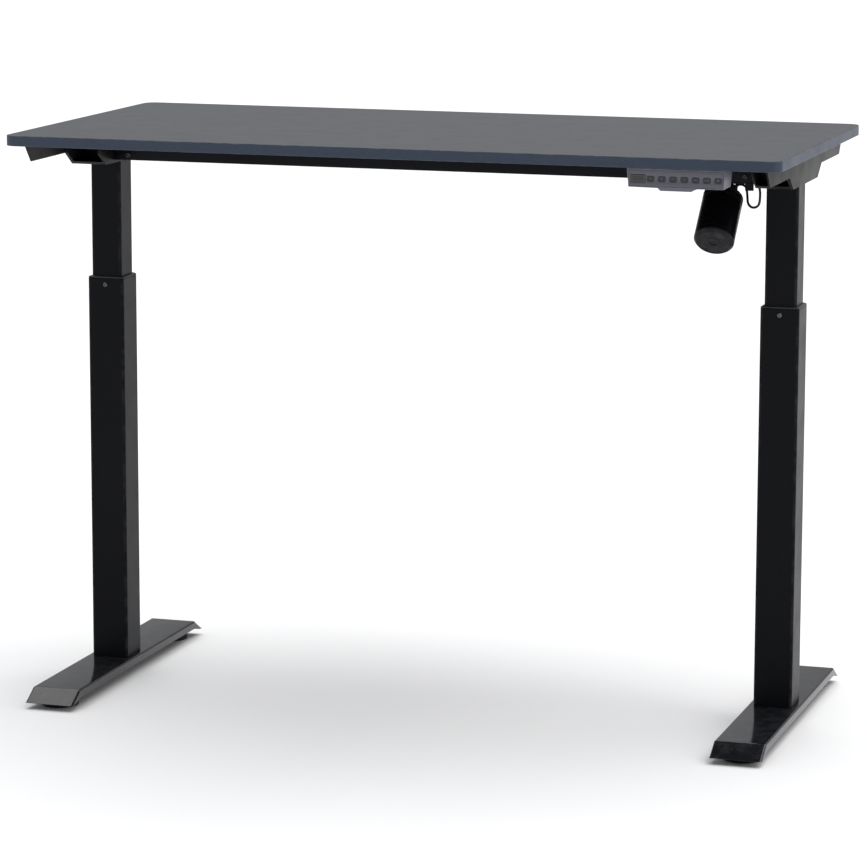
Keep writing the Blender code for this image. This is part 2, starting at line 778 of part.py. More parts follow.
def make_spindle_gear(side, sign):
    place = Matrix.Translation((sign * COLUMN_X, 0, SHAFT_Z))
    profile = gear_profile(SPINDLE_RADIUS + RUNNING)
    return turned("spindle_gear_" + side, profile, place, BARE_STEEL, closed=True)


def make_shaft_gear(side, sign):
    """The same blank on the shaft, its cone pointing out at the column's axis."""
    outward = Matrix.Rotation(sign * math.pi / 2, 4, "Y")
    place = Matrix.Translation((sign * COLUMN_X, 0, SHAFT_Z)) @ outward
    return turned("shaft_gear_" + side, gear_profile(SHAFT_BORE), place, BARE_STEEL, closed=True)


def make_head_gearbox(side, sign):
    """A cover over the gear pair, open below, with a hole each side for the shaft."""
    x = sign * COLUMN_X
    half_width = HEAD_WIDTH / 2 - HEAD_STEEL - GAP
    low, high = HEAD_FLOOR + GAP, FLANGE_BOTTOM - GEARBOX_TOP_ROOM
    cover = block(
        "head_gearbox_" + side,
        (x - half_width, -GEARBOX_DEPTH / 2, low),
        (x + half_width, GEARBOX_DEPTH / 2, high),
        BLACK_PLASTIC,
    )
    room = block(
        "gearbox_room_" + side,
        (x - half_width + GEARBOX_WALL, -GEARBOX_DEPTH / 2 + GEARBOX_WALL, low - HEAD_PLATE),
        (x + half_width - GEARBOX_WALL, GEARBOX_DEPTH / 2 - GEARBOX_WALL, high - GEARBOX_WALL),
    )
    boolean(cover, room, "DIFFERENCE")
    hole = cylinder(
        "gearbox_hole_" + side,
        SHAFT_BORE,
        2 * HEAD_WIDTH,
        Matrix.Translation((x, 0, SHAFT_Z)) @ TURNS["X"],
    )
    boolean(cover, hole, "DIFFERENCE")
    return cover


def make_shaft():
    """The hexagonal shaft from one head gearbox to the other."""
    reach = COLUMN_X + HEAD_WIDTH / 2 - HEAD_STEEL - GEARBOX_WALL / 2
    place = Matrix.Translation((0, 0, SHAFT_Z)) @ TURNS["X"]
    return cylinder("drive_shaft", SHAFT_RADIUS, 2 * reach, place, ZINC, steps=6)


# ---------------------------------------------------------------- motor


def motor_frame():
    """At the worm's middle, local -Z along the motor, the shaft at local -Y."""
    tilt = Matrix.Rotation(-MOTOR_TILT, 4, "X")
    to_worm = tilt @ Vector((0, WORM_CENTRES, 0))
    return Matrix.Translation(Vector((MOTOR_X, 0, SHAFT_Z)) + to_worm) @ tilt


def make_worm_wheel():
    half = WHEEL_WIDTH / 2
    profile = [
        (SHAFT_BORE, half),
        (WHEEL_RADIUS, half),
        (WHEEL_RADIUS, -half),
        (SHAFT_BORE, -half),
    ]
    place = Matrix.Translation((MOTOR_X, 0, SHAFT_Z)) @ TURNS["X"]
    return turned("worm_wheel", profile, place, BRASS, closed=True)


def motor_screw_spot():
    """Where the motor screw's axis crosses the underside of the motor bracket."""
    return Vector((MOTOR_X + BARREL_RADIUS, -RAIL_INNER + MOTOR_SCREW_INSET, HEAD_BOTTOM))


def make_motor_gearbox():
    """A barrel round the worm, a drum round its wheel, a flange and an ear to hang it by."""
    frame = motor_frame()
    length = BARREL_REACH + BARREL_NOSE
    barrel = cylinder(
        "motor_gearbox",
        BARREL_RADIUS,
        length,
        frame @ Matrix.Translation((0, 0, BARREL_NOSE - length / 2)),
        CAP_PLASTIC,
    )
    flange = cylinder(
        "motor_flange",
        MOTOR_RADIUS,
        MOTOR_FLANGE,
        frame @ Matrix.Translation((0, 0, MOTOR_FLANGE / 2 - BARREL_REACH)),
    )
    on_shaft = Matrix.Translation((MOTOR_X, 0, SHAFT_Z)) @ TURNS["X"]
    drum = cylinder("wheel_drum", DRUM_RADIUS, DRUM_WIDTH, on_shaft)
    spot = motor_screw_spot()
    ear_bottom = HEAD_BOTTOM + MOTOR_BRACKET_STEEL + GAP
    ear = block(
        "gearbox_ear",
        (MOTOR_X, -RAIL_INNER + EAR_MARGIN, ear_bottom),
        (spot.x + SCREW_HEAD, EAR_BACK, ear_bottom + EAR_HEIGHT),
    )
    for shape in (flange, drum, ear):
        boolean(barrel, shape, "UNION")
    bore = cylinder(
        "worm_bore",
        WORM_BORE_RADIUS,
        2 * BARREL_REACH,
        frame @ Matrix.Translation((0, 0, WHEEL_RADIUS / 2 - BARREL_REACH)),
    )
    chamber = cylinder("wheel_chamber", WHEEL_RADIUS + 2 * RUNNING, WHEEL_WIDTH + 0.002, on_shaft)
    shaft_bore = cylinder("drum_bore", SHAFT_BORE + RUNNING, 2 * DRUM_WIDTH, on_shaft)
    screw_bore = cylinder(
        "ear_bore", SCREW_SHANK / 2 + RUNNING, 3 * EAR_HEIGHT, Matrix.Translation(spot)
    )
    for shape in (bore, chamber, shaft_bore, screw_bore):
        boolean(barrel, shape, "DIFFERENCE")
    return barrel


def make_motor_can():
    top = -BARREL_REACH - GAP
    bottom = -MOTOR_REACH + MOTOR_CAP
    edge = 0.0015
    profile = [
        (0, top),
        (MOTOR_RADIUS - edge, top),
        (MOTOR_RADIUS, top - edge),
        (MOTOR_RADIUS, bottom),
        (0, bottom),
    ]
    return turned("motor_can", profile, motor_frame(), CAP_PLASTIC)


def make_motor_cap():
    top = -MOTOR_REACH + MOTOR_CAP - GAP
    profile = [
        (0, top),
        (MOTOR_RADIUS, top),
        (MOTOR_RADIUS, -MOTOR_REACH + 0.4 * MOTOR_CAP),
        (0.9 * MOTOR_RADIUS, -MOTOR_REACH),
        (0, -MOTOR_REACH),
    ]
    return turned("motor_end_cap", profile, motor_frame(), CAP_PLASTIC)


def make_motor_bracket():
    """A plate from the right leg head to the gearbox's ear, with a tab down and a flange up."""
    spot = motor_screw_spot()
    head_face = COLUMN_X - HEAD_WIDTH / 2 - GAP
    back = RAIL_INNER - MOTOR_BRACKET_MARGIN
    front = -back
    arm_back = spot.y + SCREW_HEAD / 2
    clear_of_barrel = MOTOR_X + BARREL_RADIUS + BARREL_ROOM
    tab_left = clear_of_barrel + TAB_FROM_PLATE
    low, high = HEAD_BOTTOM, HEAD_BOTTOM + MOTOR_BRACKET_STEEL
    outline = [
        (spot.x - SCREW_HEAD, front),
        (head_face, front),
        (head_face, back),
        (clear_of_barrel, back),
        (clear_of_barrel, arm_back),
        (spot.x - SCREW_HEAD, arm_back),
    ]
    bracket = prism("motor_bracket", [outline], "Z", low, high, POWDER_COAT)
    upright = block(
        "bracket_upright",
        (head_face - MOTOR_BRACKET_STEEL, -GEARBOX_DEPTH / 2, low),
        (head_face, GEARBOX_DEPTH / 2, SHAFT_Z - 2 * SHAFT_RADIUS),
    )
    tab = block(
        "bracket_tab",
        (tab_left, front, low - TAB_DROP),
        (tab_left + TAB_WIDTH, front + MOTOR_BRACKET_STEEL, high - MOTOR_BRACKET_STEEL / 2),
    )
    boolean(bracket, upright, "UNION")
    boolean(bracket, tab, "UNION")
    hole = cylinder(
        "bracket_screw_hole",
        SCREW_SHANK / 2 + RUNNING,
        4 * MOTOR_BRACKET_STEEL,
        Matrix.Translation(spot),
    )
    route_x, route_y = LEAD_THROUGH_BRACKET
    lead_slot = cylinder(
        "bracket_lead_hole",
        LEAD_HOLE / 2,
        4 * MOTOR_BRACKET_STEEL,
        Matrix.Translation((MOTOR_X + route_x, route_y, HEAD_BOTTOM)),
    )
    boolean(bracket, hole, "DIFFERENCE")
    boolean(bracket, lead_slot, "DIFFERENCE")
    return bracket


def make_motor_screw():
    upside_down = Matrix.Rotation(math.pi, 4, "X")
    place = Matrix.Translation(motor_screw_spot() - Vector((0, 0, GAP))) @ upside_down
    length = MOTOR_BRACKET_STEEL + 0.8 * EAR_HEIGHT
    return turned("motor_screw", screw_profile(length), place, ZINC)


# ---------------------------------------------------------------- motor lead


def smooth_route(points, piece):
    """Points a piece apart on the Catmull-Rom curve through the route."""
    ends = [2 * points[0] - points[1], *points, 2 * points[-1] - points[-2]]
    fine = []
    for a, b, c, d in zip(ends, ends[1:], ends[2:], ends[3:]):
        for step in range(16):
            t = step / 16
            fine.append(
                b
                + (c - a) * t / 2
                + (2 * a - 5 * b + 4 * c - d) * t**2 / 2
                + (3 * (b - c) + d - a) * t**3 / 2
            )
    fine.append(points[-1])
    length = sum((q - p).length for p, q in zip(fine, fine[1:]))
    count = round(length / piece)
    spaced, walked = [fine[0]], 0.0
    for p, q in zip(fine, fine[1:]):
        walked += (q - p).length
        if walked >= len(spaced) * length / count and len(spaced) < count:
            spaced.append(q)
    return [*spaced, fine[-1]]


def make_motor_lead():
    route = [Vector((MOTOR_X + x, y, DESK_UNDERSIDE - drop)) for x, y, drop in LEAD_ROUTE]
    curve = bpy.data.curves.new("motor_lead", "CURVE")
    curve.dimensions = "3D"
    curve.bevel_depth = LEAD_DIAMETER / 2
    curve.bevel_resolution = 2
    curve.use_fill_caps = True
    points = smooth_route(route, LEAD_PIECE)
    spline = curve.splines.new("POLY")
    spline.points.add(len(points) - 1)
    for knot, point in zip(spline.points, points):
        knot.co = (*point, 1)
    return solid_from_curve(curve, "motor_lead", Matrix.Identity(4), CABLE_JACKET)


def make_lead_gland():
    """A tapered sleeve on the gearbox's flank that the lead comes out of."""
    start = BARREL_RADIUS + GAP
    end = LEAD_ROUTE[0][0] - GAP
    profile = [
        (0, end),
        (0.75 * LEAD_DIAMETER, end),
        (LEAD_DIAMETER, start + GLAND_COLLAR),
        (1.1 * LEAD_DIAMETER, start),
        (0, start),
    ]
    flank = motor_frame() @ Vector((0, 0, -GLAND_DROP))
    place = Matrix.Translation(flank) @ TURNS["X"]
    return turned("lead_gland", profile, place, BLACK_PLASTIC)


def make_lead_plug():
    x, y, drop = LEAD_ROUTE[-1]
    z = DESK_UNDERSIDE - drop
    low = (CONTROL_RIGHT + GAP, y - PLUG_WIDTH / 2, z - PLUG_HEIGHT / 2)
    high = (MOTOR_X + x - GAP, y + PLUG_WIDTH / 2, z + PLUG_HEIGHT / 2)
    return block("lead_plug", low, high, BLACK_PLASTIC)


# ---------------------------------------------------------------- control box


def make_control_box():
    low_x, high_x = CONTROL_CENTRE_X - CONTROL_LENGTH / 2, CONTROL_RIGHT
    back = CONTROL_FRONT + CONTROL_DEPTH
    bottom = CONTROL_TOP - CONTROL_HEIGHT
    box = block(
        "control_box",
        (low_x, CONTROL_FRONT, bottom),
        (high_x, back, CONTROL_TOP),
        BLACK_PLASTIC,
    )
    wall = CONTROL_WALL
    room = block(
        "control_room",
        (low_x + wall, CONTROL_FRONT + wall, bottom + wall),
        (high_x - wall, back - wall, CONTROL_TOP + wall),
    )
    boolean(box, room, "DIFFERENCE")
    _, y, z = inlet_centre()
    half_y, half_z = INLET_WIDTH / 2 + GAP, INLET_HEIGHT / 2 + GAP
    window = block(
        "inlet_window",
        (low_x - wall, y - half_y, z - half_z),
        (low_x + 2 * wall, y + half_y, z + half_z),
    )
    boolean(box, window, "DIFFERENCE")
    return box


def make_control_cover():
    """The lid on top of the box, with an ear each end for the screws into the desktop."""
    top = DESK_UNDERSIDE - GAP
    low = (CONTROL_CENTRE_X - CONTROL_LENGTH / 2 - CONTROL_EAR, CONTROL_FRONT, top - CONTROL_WALL)
    high = (CONTROL_RIGHT + CONTROL_EAR, CONTROL_FRONT + CONTROL_DEPTH, top)
    return block("control_box_cover", low, high, BLACK_PLASTIC)


def inlet_centre():
    x = CONTROL_CENTRE_X - CONTROL_LENGTH / 2
    return (x, CONTROL_FRONT + CONTROL_DEPTH / 2, CONTROL_TOP - CONTROL_HEIGHT / 2)


def make_power_inlet():
    """The mains socket in the box's left wall: a shroud round a recess."""
    x, y, z = inlet_centre()
    half_y, half_z, wall = INLET_WIDTH / 2, INLET_HEIGHT / 2, INLET_WALL
    inlet = block(
        "power_inlet",
        (x - INLET_PROUD, y - half_y, z - half_z),
        (x + INLET_DEPTH, y + half_y, z + half_z),
        BLACK_PLASTIC,
    )
    recess = block(
        "inlet_recess",
        (x - INLET_DEPTH, y - half_y + wall, z - half_z + wall),
        (x + INLET_DEPTH - wall, y + half_y - wall, z + half_z - wall),
    )
    boolean(inlet, recess, "DIFFERENCE")
    return inlet


# ---------------------------------------------------------------- handset


def handset_outline():
    """The front view: narrower at the bottom, with a shallow grip below its middle."""
    x = HANDSET_CENTRE_X
    top, bottom = HANDSET_TOP, HANDSET_TOP - HANDSET_HEIGHT
    half_top, half_bottom = HANDSET_TOP_WIDTH / 2, HANDSET_BOTTOM_WIDTH / 2
    grip = HANDSET_GRIP_WIDTH / 2
    return [
        (x - half_top, top),
        (x - half_bottom, bottom + HANDSET_END_RISE),
        (x - grip, bottom),
        (x - grip + HANDSET_GRIP_DROP, bottom - HANDSET_GRIP_DROP),
        (x + grip - HANDSET_GRIP_DROP, bottom - HANDSET_GRIP_DROP),
        (x + grip, bottom),
        (x + half_bottom, bottom + HANDSET_END_RISE),
        (x + half_top, top),
    ]


def make_handset_housing():
    back = HANDSET_FRONT + HANDSET_DEPTH
    housing = prism(
        "handset_housing", [handset_outline()], "Y", HANDSET_FRONT, back, HANDSET_GREY
    )
    room = prism(
        "handset_room",
        [face_outline(GAP)],
        "Y",
        HANDSET_FRONT - HANDSET_WALL,
        back - HANDSET_WALL,
    )
    boolean(housing, room, "DIFFERENCE")
    return housing


def face_outline(grow=0.0):
    """The face panel's outline: the handset's, without its grip, inside its walls."""
    x = HANDSET_CENTRE_X
    inset = HANDSET_WALL - grow
    top, bottom = HANDSET_TOP - inset, HANDSET_TOP - HANDSET_HEIGHT + inset
    half_top, half_bottom = HANDSET_TOP_WIDTH / 2 - inset, HANDSET_BOTTOM_WIDTH / 2 - inset
    return [
        (x - half_top, top),
        (x - half_bottom, bottom),
        (x + half_bottom, bottom),
        (x + half_top, top),
    ]


def key_spots():
    """(name, x, z) of each key, in order from the display."""
    z = DESK_UNDERSIDE - KEY_DROP
    first = HANDSET_CENTRE_X + FIRST_KEY_FROM_CENTRE
    return [(name, first + index * KEY_SPACING, z) for index, name in enumerate(KEY_NAMES)]


def key_outline(x, z, grow=0.0):
    corners = rectangle(KEY_WIDTH + 2 * grow, KEY_HEIGHT + 2 * grow, (x, z))
    return rounded(corners, KEY_CORNER + grow, 3)


def display_outline(grow=0.0):
    centre = (HANDSET_CENTRE_X + DISPLAY_FROM_CENTRE, DESK_UNDERSIDE - KEY_DROP)
    corners = rectangle(DISPLAY_WIDTH + 2 * grow, DISPLAY_HEIGHT + 2 * grow, centre)
    return rounded(corners, DISPLAY_CORNER + grow, 3)


def make_handset_face():
    windows = [key_outline(x, z, RUNNING) for _, x, z in key_spots()]
    outlines = [face_outline(), display_outline(GAP), *windows]
    return prism(
        "handset_face", outlines, "Y", FACE_FRONT, FACE_FRONT + FACE_THICKNESS, HANDSET_GREY
    )


def make_handset_display():
    return prism(
        "handset_display",
        [display_outline()],
        "Y",
        FACE_FRONT,
        FACE_FRONT + FACE_THICKNESS,
        DISPLAY_BLACK,
    )


def make_keys():
    front = HANDSET_FRONT
    return {
        name: prism(
            "key_" + name, [key_outline(x, z)], "Y", front, front + KEY_THICKNESS, KEY_BLACK
        )
        for name, x, z in key_spots()
    }


# ---------------------------------------------------------------- feet


def make_foot(side, sign):
    """An inverted channel with an end flap sloping out and down at each end."""
    x = sign * COLUMN_X
    flat, tip = FOOT_FLAT / 2, FOOT_LENGTH / 2
    under = FOOT_HEIGHT - FOOT_STEEL
    half = [(flat, FOOT_HEIGHT), (tip, FLAP_BOTTOM), (tip - 1.4 * FOOT_STEEL, FLAP_BOTTOM)]
    half.append((flat - FOOT_STEEL / 2, under))
    sheet = half + [(-y, z) for y, z in reversed(half)]
    foot = prism("foot_" + side, [sheet], "X", x - FOOT_WIDTH / 2, x + FOOT_WIDTH / 2, POWDER_COAT)
    wall_half = [
        (flat, FOOT_HEIGHT - FOOT_STEEL / 4),
        (tip - FOOT_STEEL / 2, FLAP_BOTTOM + FOOT_STEEL / 4),
        (tip - 0.011, FLAP_BOTTOM + FOOT_STEEL / 4),
        (flat - 0.004, FOOT_HEIGHT - FOOT_WALL_HEIGHT),
    ]
    wall = wall_half + [(-y, z) for y, z in reversed(wall_half)]
    for name, outer in (("outer", 1), ("inner", -1)):
        faces = sorted((x + outer * FOOT_WIDTH / 2, x + outer * (FOOT_WIDTH / 2 - FOOT_STEEL)))
        boolean(foot, prism(f"foot_wall_{side}_{name}", [wall], "X", *faces), "UNION")
    boss_bottom = PAD_HEIGHT + STUD_BOSS_RISE
    boss_length = under + FOOT_STEEL / 2 - boss_bottom
    for end, toward in ENDS.items():
        spot = (x, toward * PAD_SPACING / 2)
        boss = cylinder(
            f"stud_boss_{side}_{end}",
            STUD_BOSS / 2,
            boss_length,
            Matrix.Translation((*spot, boss_bottom + boss_length / 2)),
        )
        boolean(foot, boss, "UNION")
        bore = cylinder(
            f"stud_bore_{side}_{end}",
            STUD_DIAMETER / 2 + RUNNING,
            2 * (under - boss_bottom),
            Matrix.Translation((*spot, boss_bottom)),
        )
        boolean(foot, bore, "DIFFERENCE")
    return foot


def make_pad(side, sign, end, toward):
    """A levelling pad: a round foot on a stud that screws into the foot's boss."""
    radius, stud = PAD_DIAMETER / 2, STUD_DIAMETER / 2
    stud_top = FOOT_HEIGHT - FOOT_STEEL - STUD_ROOM
    profile = [
        (0, stud_top),
        (stud, stud_top),
        (stud, PAD_HEIGHT + 0.002),
        (2 * stud, PAD_HEIGHT + 0.001),
        (2 * stud, PAD_HEIGHT),
        (0.85 * radius, PAD_HEIGHT),
        (radius, 0.65 * PAD_HEIGHT),
        (radius, 0.12 * PAD_HEIGHT),
        (radius - 0.001, 0),
        (0, 0),
    ]
    place = Matrix.Translation((sign * COLUMN_X, toward * PAD_SPACING / 2, 0))
    return turned(f"levelling_pad_{side}_{end}", profile, place, RUBBER)


# ---------------------------------------------------------------- assembly


def make_base(side, sign):
    """A foot with the lower half of its column, and its two pads as bodies of their own."""
    frame = body_frame(side + "_base", (sign * COLUMN_X, 0, FOOT_HEIGHT))
    hang(
        frame,
        make_foot(side, sign),
        make_lower_column(side, sign),
        make_collar(side, sign),
        make_collar_screw(side, sign),
        make_nut_tube(side, sign),
        make_nut(side, sign),
    )
    for end, toward in ENDS.items():
        hang(frame, make_pad(side, sign, end, toward))
    return frame


def make_lift(side, sign, top):
    """The upper half of a column, with its spindle turning inside it."""
    hang(
        top,
        make_leg_head(side, sign),
        make_side_bracket(side, sign),
        make_upper_column(side, sign),
        make_slide_shoe(side, sign),
        make_bearing(side, sign),
        make_head_gearbox(side, sign),
    )
    spin = body_frame("spindle_" + side, (sign * COLUMN_X, 0, SHAFT_Z))
    hang(spin, make_spindle(side, sign), make_spindle_gear(side, sign))
    hang(top, spin)


def make_top():
    """Everything that rises with the desktop."""
    top = body_frame("top", (0, 0, DESK_UNDERSIDE))
    hang(
        top,
        make_desktop(),
        make_motor_gearbox(),
        make_motor_can(),
        make_motor_cap(),
        make_motor_bracket(),
        make_motor_screw(),
        make_lead_gland(),
        make_motor_lead(),
        make_lead_plug(),
        make_control_box(),
        make_control_cover(),
        make_power_inlet(),
        make_handset_housing(),
        make_handset_face(),
        make_handset_display(),
    )
    for end, toward in ENDS.items():
        hang(top, make_rail(end, toward))
    for side, sign in SIDES.items():
        make_lift(side, sign, top)
    drive = body_frame("drive", (0, 0, SHAFT_Z))
    hang(drive, make_shaft(), make_worm_wheel())
    for side, sign in SIDES.items():
        hang(drive, make_shaft_gear(side, sign))
    hang(top, drive)
    for (_, x, z), key in zip(key_spots(), make_keys().values()):
        press = body_frame(key.name + "_press", (x, HANDSET_FRONT, z))
        hang(press, key)
        hang(top, press)


clear_scene()
desk = collection("standing desk")
helpers = collection("helpers")
for side_name, side_sign in SIDES.items():
    make_base(side_name, side_sign)
make_top()
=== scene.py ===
"""The looks of a height adjustable standing desk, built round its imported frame.

Every surface is a grid of points worked out with numpy, and every finish is a set of shader nodes.
Metres, +Z up, and -Y is the side that the user sits at.
"""

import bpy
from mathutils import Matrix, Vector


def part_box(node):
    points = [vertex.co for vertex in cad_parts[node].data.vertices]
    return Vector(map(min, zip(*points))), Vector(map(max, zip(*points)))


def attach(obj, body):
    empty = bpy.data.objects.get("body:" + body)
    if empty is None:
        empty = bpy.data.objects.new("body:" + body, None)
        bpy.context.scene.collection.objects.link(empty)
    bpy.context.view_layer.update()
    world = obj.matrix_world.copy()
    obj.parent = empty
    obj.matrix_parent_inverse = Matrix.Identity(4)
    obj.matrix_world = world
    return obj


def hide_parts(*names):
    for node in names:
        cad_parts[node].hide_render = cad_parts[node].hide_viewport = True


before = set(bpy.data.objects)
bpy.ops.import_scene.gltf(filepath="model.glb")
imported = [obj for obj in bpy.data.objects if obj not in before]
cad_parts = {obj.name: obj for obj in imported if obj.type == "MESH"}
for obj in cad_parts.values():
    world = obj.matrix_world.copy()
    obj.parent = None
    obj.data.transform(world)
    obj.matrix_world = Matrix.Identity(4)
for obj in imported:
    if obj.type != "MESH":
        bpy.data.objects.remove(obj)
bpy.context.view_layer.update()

import logging
import math
from dataclasses import dataclass, field, replace
from enum import Enum
from typing import Callable, ClassVar

import bmesh
import bpy
import numpy as np
from mathutils import Matrix, Vector

logging.basicConfig(level=logging.INFO, format="%(message)s")
log = logging.getLogger("standing_desk")

Colour = tuple[float, float, float]
Point = tuple[float, float, float]
Node = bpy.types.Object

GAP = 0.0003
DESK_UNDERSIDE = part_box("desktop")[0].z
MOTOR_X = 0.4547

SHARP_ANGLE = 32.0  # degrees between faces that keep a crease
WELD = 0.000001  # points nearer than this are one
CAD_WELD = 0.000002
FLAT_ANGLE = 0.6  # degrees between CAD faces that count as one flat
SHOULDER = 0.0012  # from a rounding's end to the next point on the flat

# Button heads: radius, height, and width across the socket's flats.
PLATE_SCREW = (0.0040, 0.0020, 0.0026)
BELL_SCREW = (0.0024, 0.0012, 0.0016)
FLANGE_SCREW = (0.0030, 0.0022, 0.0022)


class Side(Enum):
    """The two ends of the desk."""

    LEFT = -1
    RIGHT = 1

    @property
    def word(self) -> str:
        """The side as node names spell it."""
        return self.name.lower()


class End(Enum):
    """The user's edge of the desk and the far one."""

    FRONT = -1
    BACK = 1

    @property
    def word(self) -> str:
        """The end as node names spell it."""
        return self.name.lower()


# ---------------------------------------------------------------- where shapes lie


@dataclass(frozen=True)
class Placement:
    """Where a shape's own axes lie on the desk.

    A local point (a, b, c) goes to origin + a * first axis + b * second + c * third.
    """

    origin: Point = (0.0, 0.0, 0.0)
    axes: tuple[Point, Point, Point] = ((1, 0, 0), (0, 1, 0), (0, 0, 1))

    def __call__(self, local: np.ndarray) -> np.ndarray:
        """Local points, of any grid shape, as points of the desk."""
        return np.asarray(self.origin, float) + local @ np.asarray(self.axes, float)

    def at(self, *origin: float) -> "Placement":
        """The same axes at another origin."""
        return Placement(tuple(origin), self.axes)


UPWARD = Placement()
DOWNWARD = Placement(axes=((1, 0, 0), (0, -1, 0), (0, 0, -1)))
TO_USER = Placement(axes=((1, 0, 0), (0, 0, 1), (0, -1, 0)))
TO_BACK = Placement(axes=((-1, 0, 0), (0, 0, 1), (0, 1, 0)))
RIGHTWARD = Placement(axes=((0, 1, 0), (0, 0, 1), (1, 0, 0)))
LEFTWARD = Placement(axes=((0, -1, 0), (0, 0, 1), (-1, 0, 0)))


# ---------------------------------------------------------------- outlines and rims


@dataclass(frozen=True)
class Outline:
    """A closed flat outline, anticlockwise.

    points are its (n, 2) points, normals the outward directions there, and edge is 1 on a
    rounded corner and 0 on the flats.
    """

    points: np.ndarray
    normals: np.ndarray
    edge: np.ndarray

    @classmethod
    def rounded(
        cls,
        corners: list[tuple[float, float]],
        radius: float | list[float],
        steps: int = 5,
        shoulder: float = SHOULDER,
    ) -> "Outline":
        """A polygon whose corners are arcs, each with a point on the flat just beyond its ends.

        With b and a the unit vectors from a corner to its neighbours and h half the angle between
        them, the arc's centre is radius / sin(h) along a + b, and it runs between the points
        radius / tan(h) along b and along a. A reflex corner's normals point at its centre.

        Args:
            corners: The polygon's corners, anticlockwise.
            radius: One radius, or one for each corner.
            steps: Pieces in each arc.
            shoulder: How far beyond an arc the next point lies.

        Returns:
            The outline.
        """
        spot = np.asarray(corners, float)
        bend = np.broadcast_to(np.asarray(radius, float), len(spot))[:, None]
        before = np.roll(spot, 1, axis=0) - spot
        after = np.roll(spot, -1, axis=0) - spot
        before /= np.linalg.norm(before, axis=1, keepdims=True)
        after /= np.linalg.norm(after, axis=1, keepdims=True)
        half = np.arccos(np.clip((before * after).sum(1), -1, 1))[:, None] / 2
        middle = before + after
        middle /= np.linalg.norm(middle, axis=1, keepdims=True)
        centre = spot + middle * bend / np.sin(half)
        start = spot + before * bend / np.tan(half)
        end = spot + after * bend / np.tan(half)
        first, last = (start - centre) / bend, (end - centre) / bend
        sweep = (math.pi - 2 * half)[:, None]
        share = np.linspace(0, 1, steps + 1)[None, :, None]
        turn = np.sin((1 - share) * sweep) * first[:, None] + np.sin(share * sweep) * last[:, None]
        turn = turn / np.sin(sweep)
        arc = centre[:, None] + turn * bend[:, None]
        sign = np.where(after[:, 0] * before[:, 1] - after[:, 1] * before[:, 0] > 0, 1.0, -1.0)[:, None, None]
        before_arc = (start + before * shoulder)[:, None]
        after_arc = (end + after * shoulder)[:, None]
        points = np.concatenate([before_arc, arc, after_arc], axis=1).reshape(-1, 2)
        normals = sign * np.concatenate([first[:, None], turn, last[:, None]], axis=1)
        edge = np.ones((len(spot), steps + 3))
        edge[:, [0, -1]] = 0
        return cls(points, normals.reshape(-1, 2), edge.reshape(-1))

    @classmethod
    def rectangle(
        cls,
        width: float,
        height: float,
        radius: float,
        centre: tuple[float, float] = (0.0, 0.0),
        steps: int = 5,
        shoulder: float = SHOULDER,
    ) -> "Outline":
        """A rectangle with rounded corners round its centre."""
        u, v = centre
        corners = [(u + i * width / 2, v + j * height / 2) for i, j in ((-1, -1), (1, -1), (1, 1), (-1, 1))]
        return cls.rounded(corners, radius, steps, shoulder)

    @classmethod
    def polygon(cls, count: int, flats: float, radius: float, steps: int = 3) -> "Outline":
        """A regular polygon of a width across its flats."""
        reach = flats / 2 / math.cos(math.pi / count)
        turns = [2 * math.pi * (k + 0.5) / count for k in range(count)]
        return cls.rounded([(reach * math.cos(t), reach * math.sin(t)) for t in turns], radius, steps, 0.0004)

    def inset(self, depth: float | np.ndarray) -> np.ndarray:
        """The outline moved inwards along its normals; an array of depths gives a row for each."""
        return self.points - np.asarray(depth, float)[..., None, None] * self.normals


def rim_rows(low: float, high: float, low_rim: float, high_rim: float, steps: int = 3) -> np.ndarray:
    """Rows of (inset, height, edge) up a slab's side, with a quarter round at its foot and head.

    At t from 0 to a quarter turn, a rim is rim * (1 - sin t) in and rim * (1 - cos t) from its end.

    Args:
        low: Height of the lower face.
        high: Height of the upper face.
        low_rim: Radius of the lower quarter round.
        high_rim: Radius of the upper one.
        steps: Pieces in each quarter round.

    Returns:
        An array of rows, lowest first.
    """
    turn = np.linspace(0, math.pi / 2, steps + 1)
    rows = []
    for face, rim, toward in ((low, low_rim, 1), (high, high_rim, -1)):
        inset, rise = rim * (1 - np.sin(turn)), face + toward * rim * (1 - np.cos(turn))
        curve = np.stack([inset, rise, np.ones_like(turn)], axis=1)
        beyond = min(SHOULDER, abs(high - low) / 4)
        flat_in = [[2.5 * rim + 0.0004, face, 0.0]]
        flat_up = [[0.0, face + toward * (rim + beyond), 0.0]]
        part = np.concatenate([flat_in, curve, flat_up])
        rows.append(part if toward > 0 else part[::-1])
    return np.concatenate(rows)


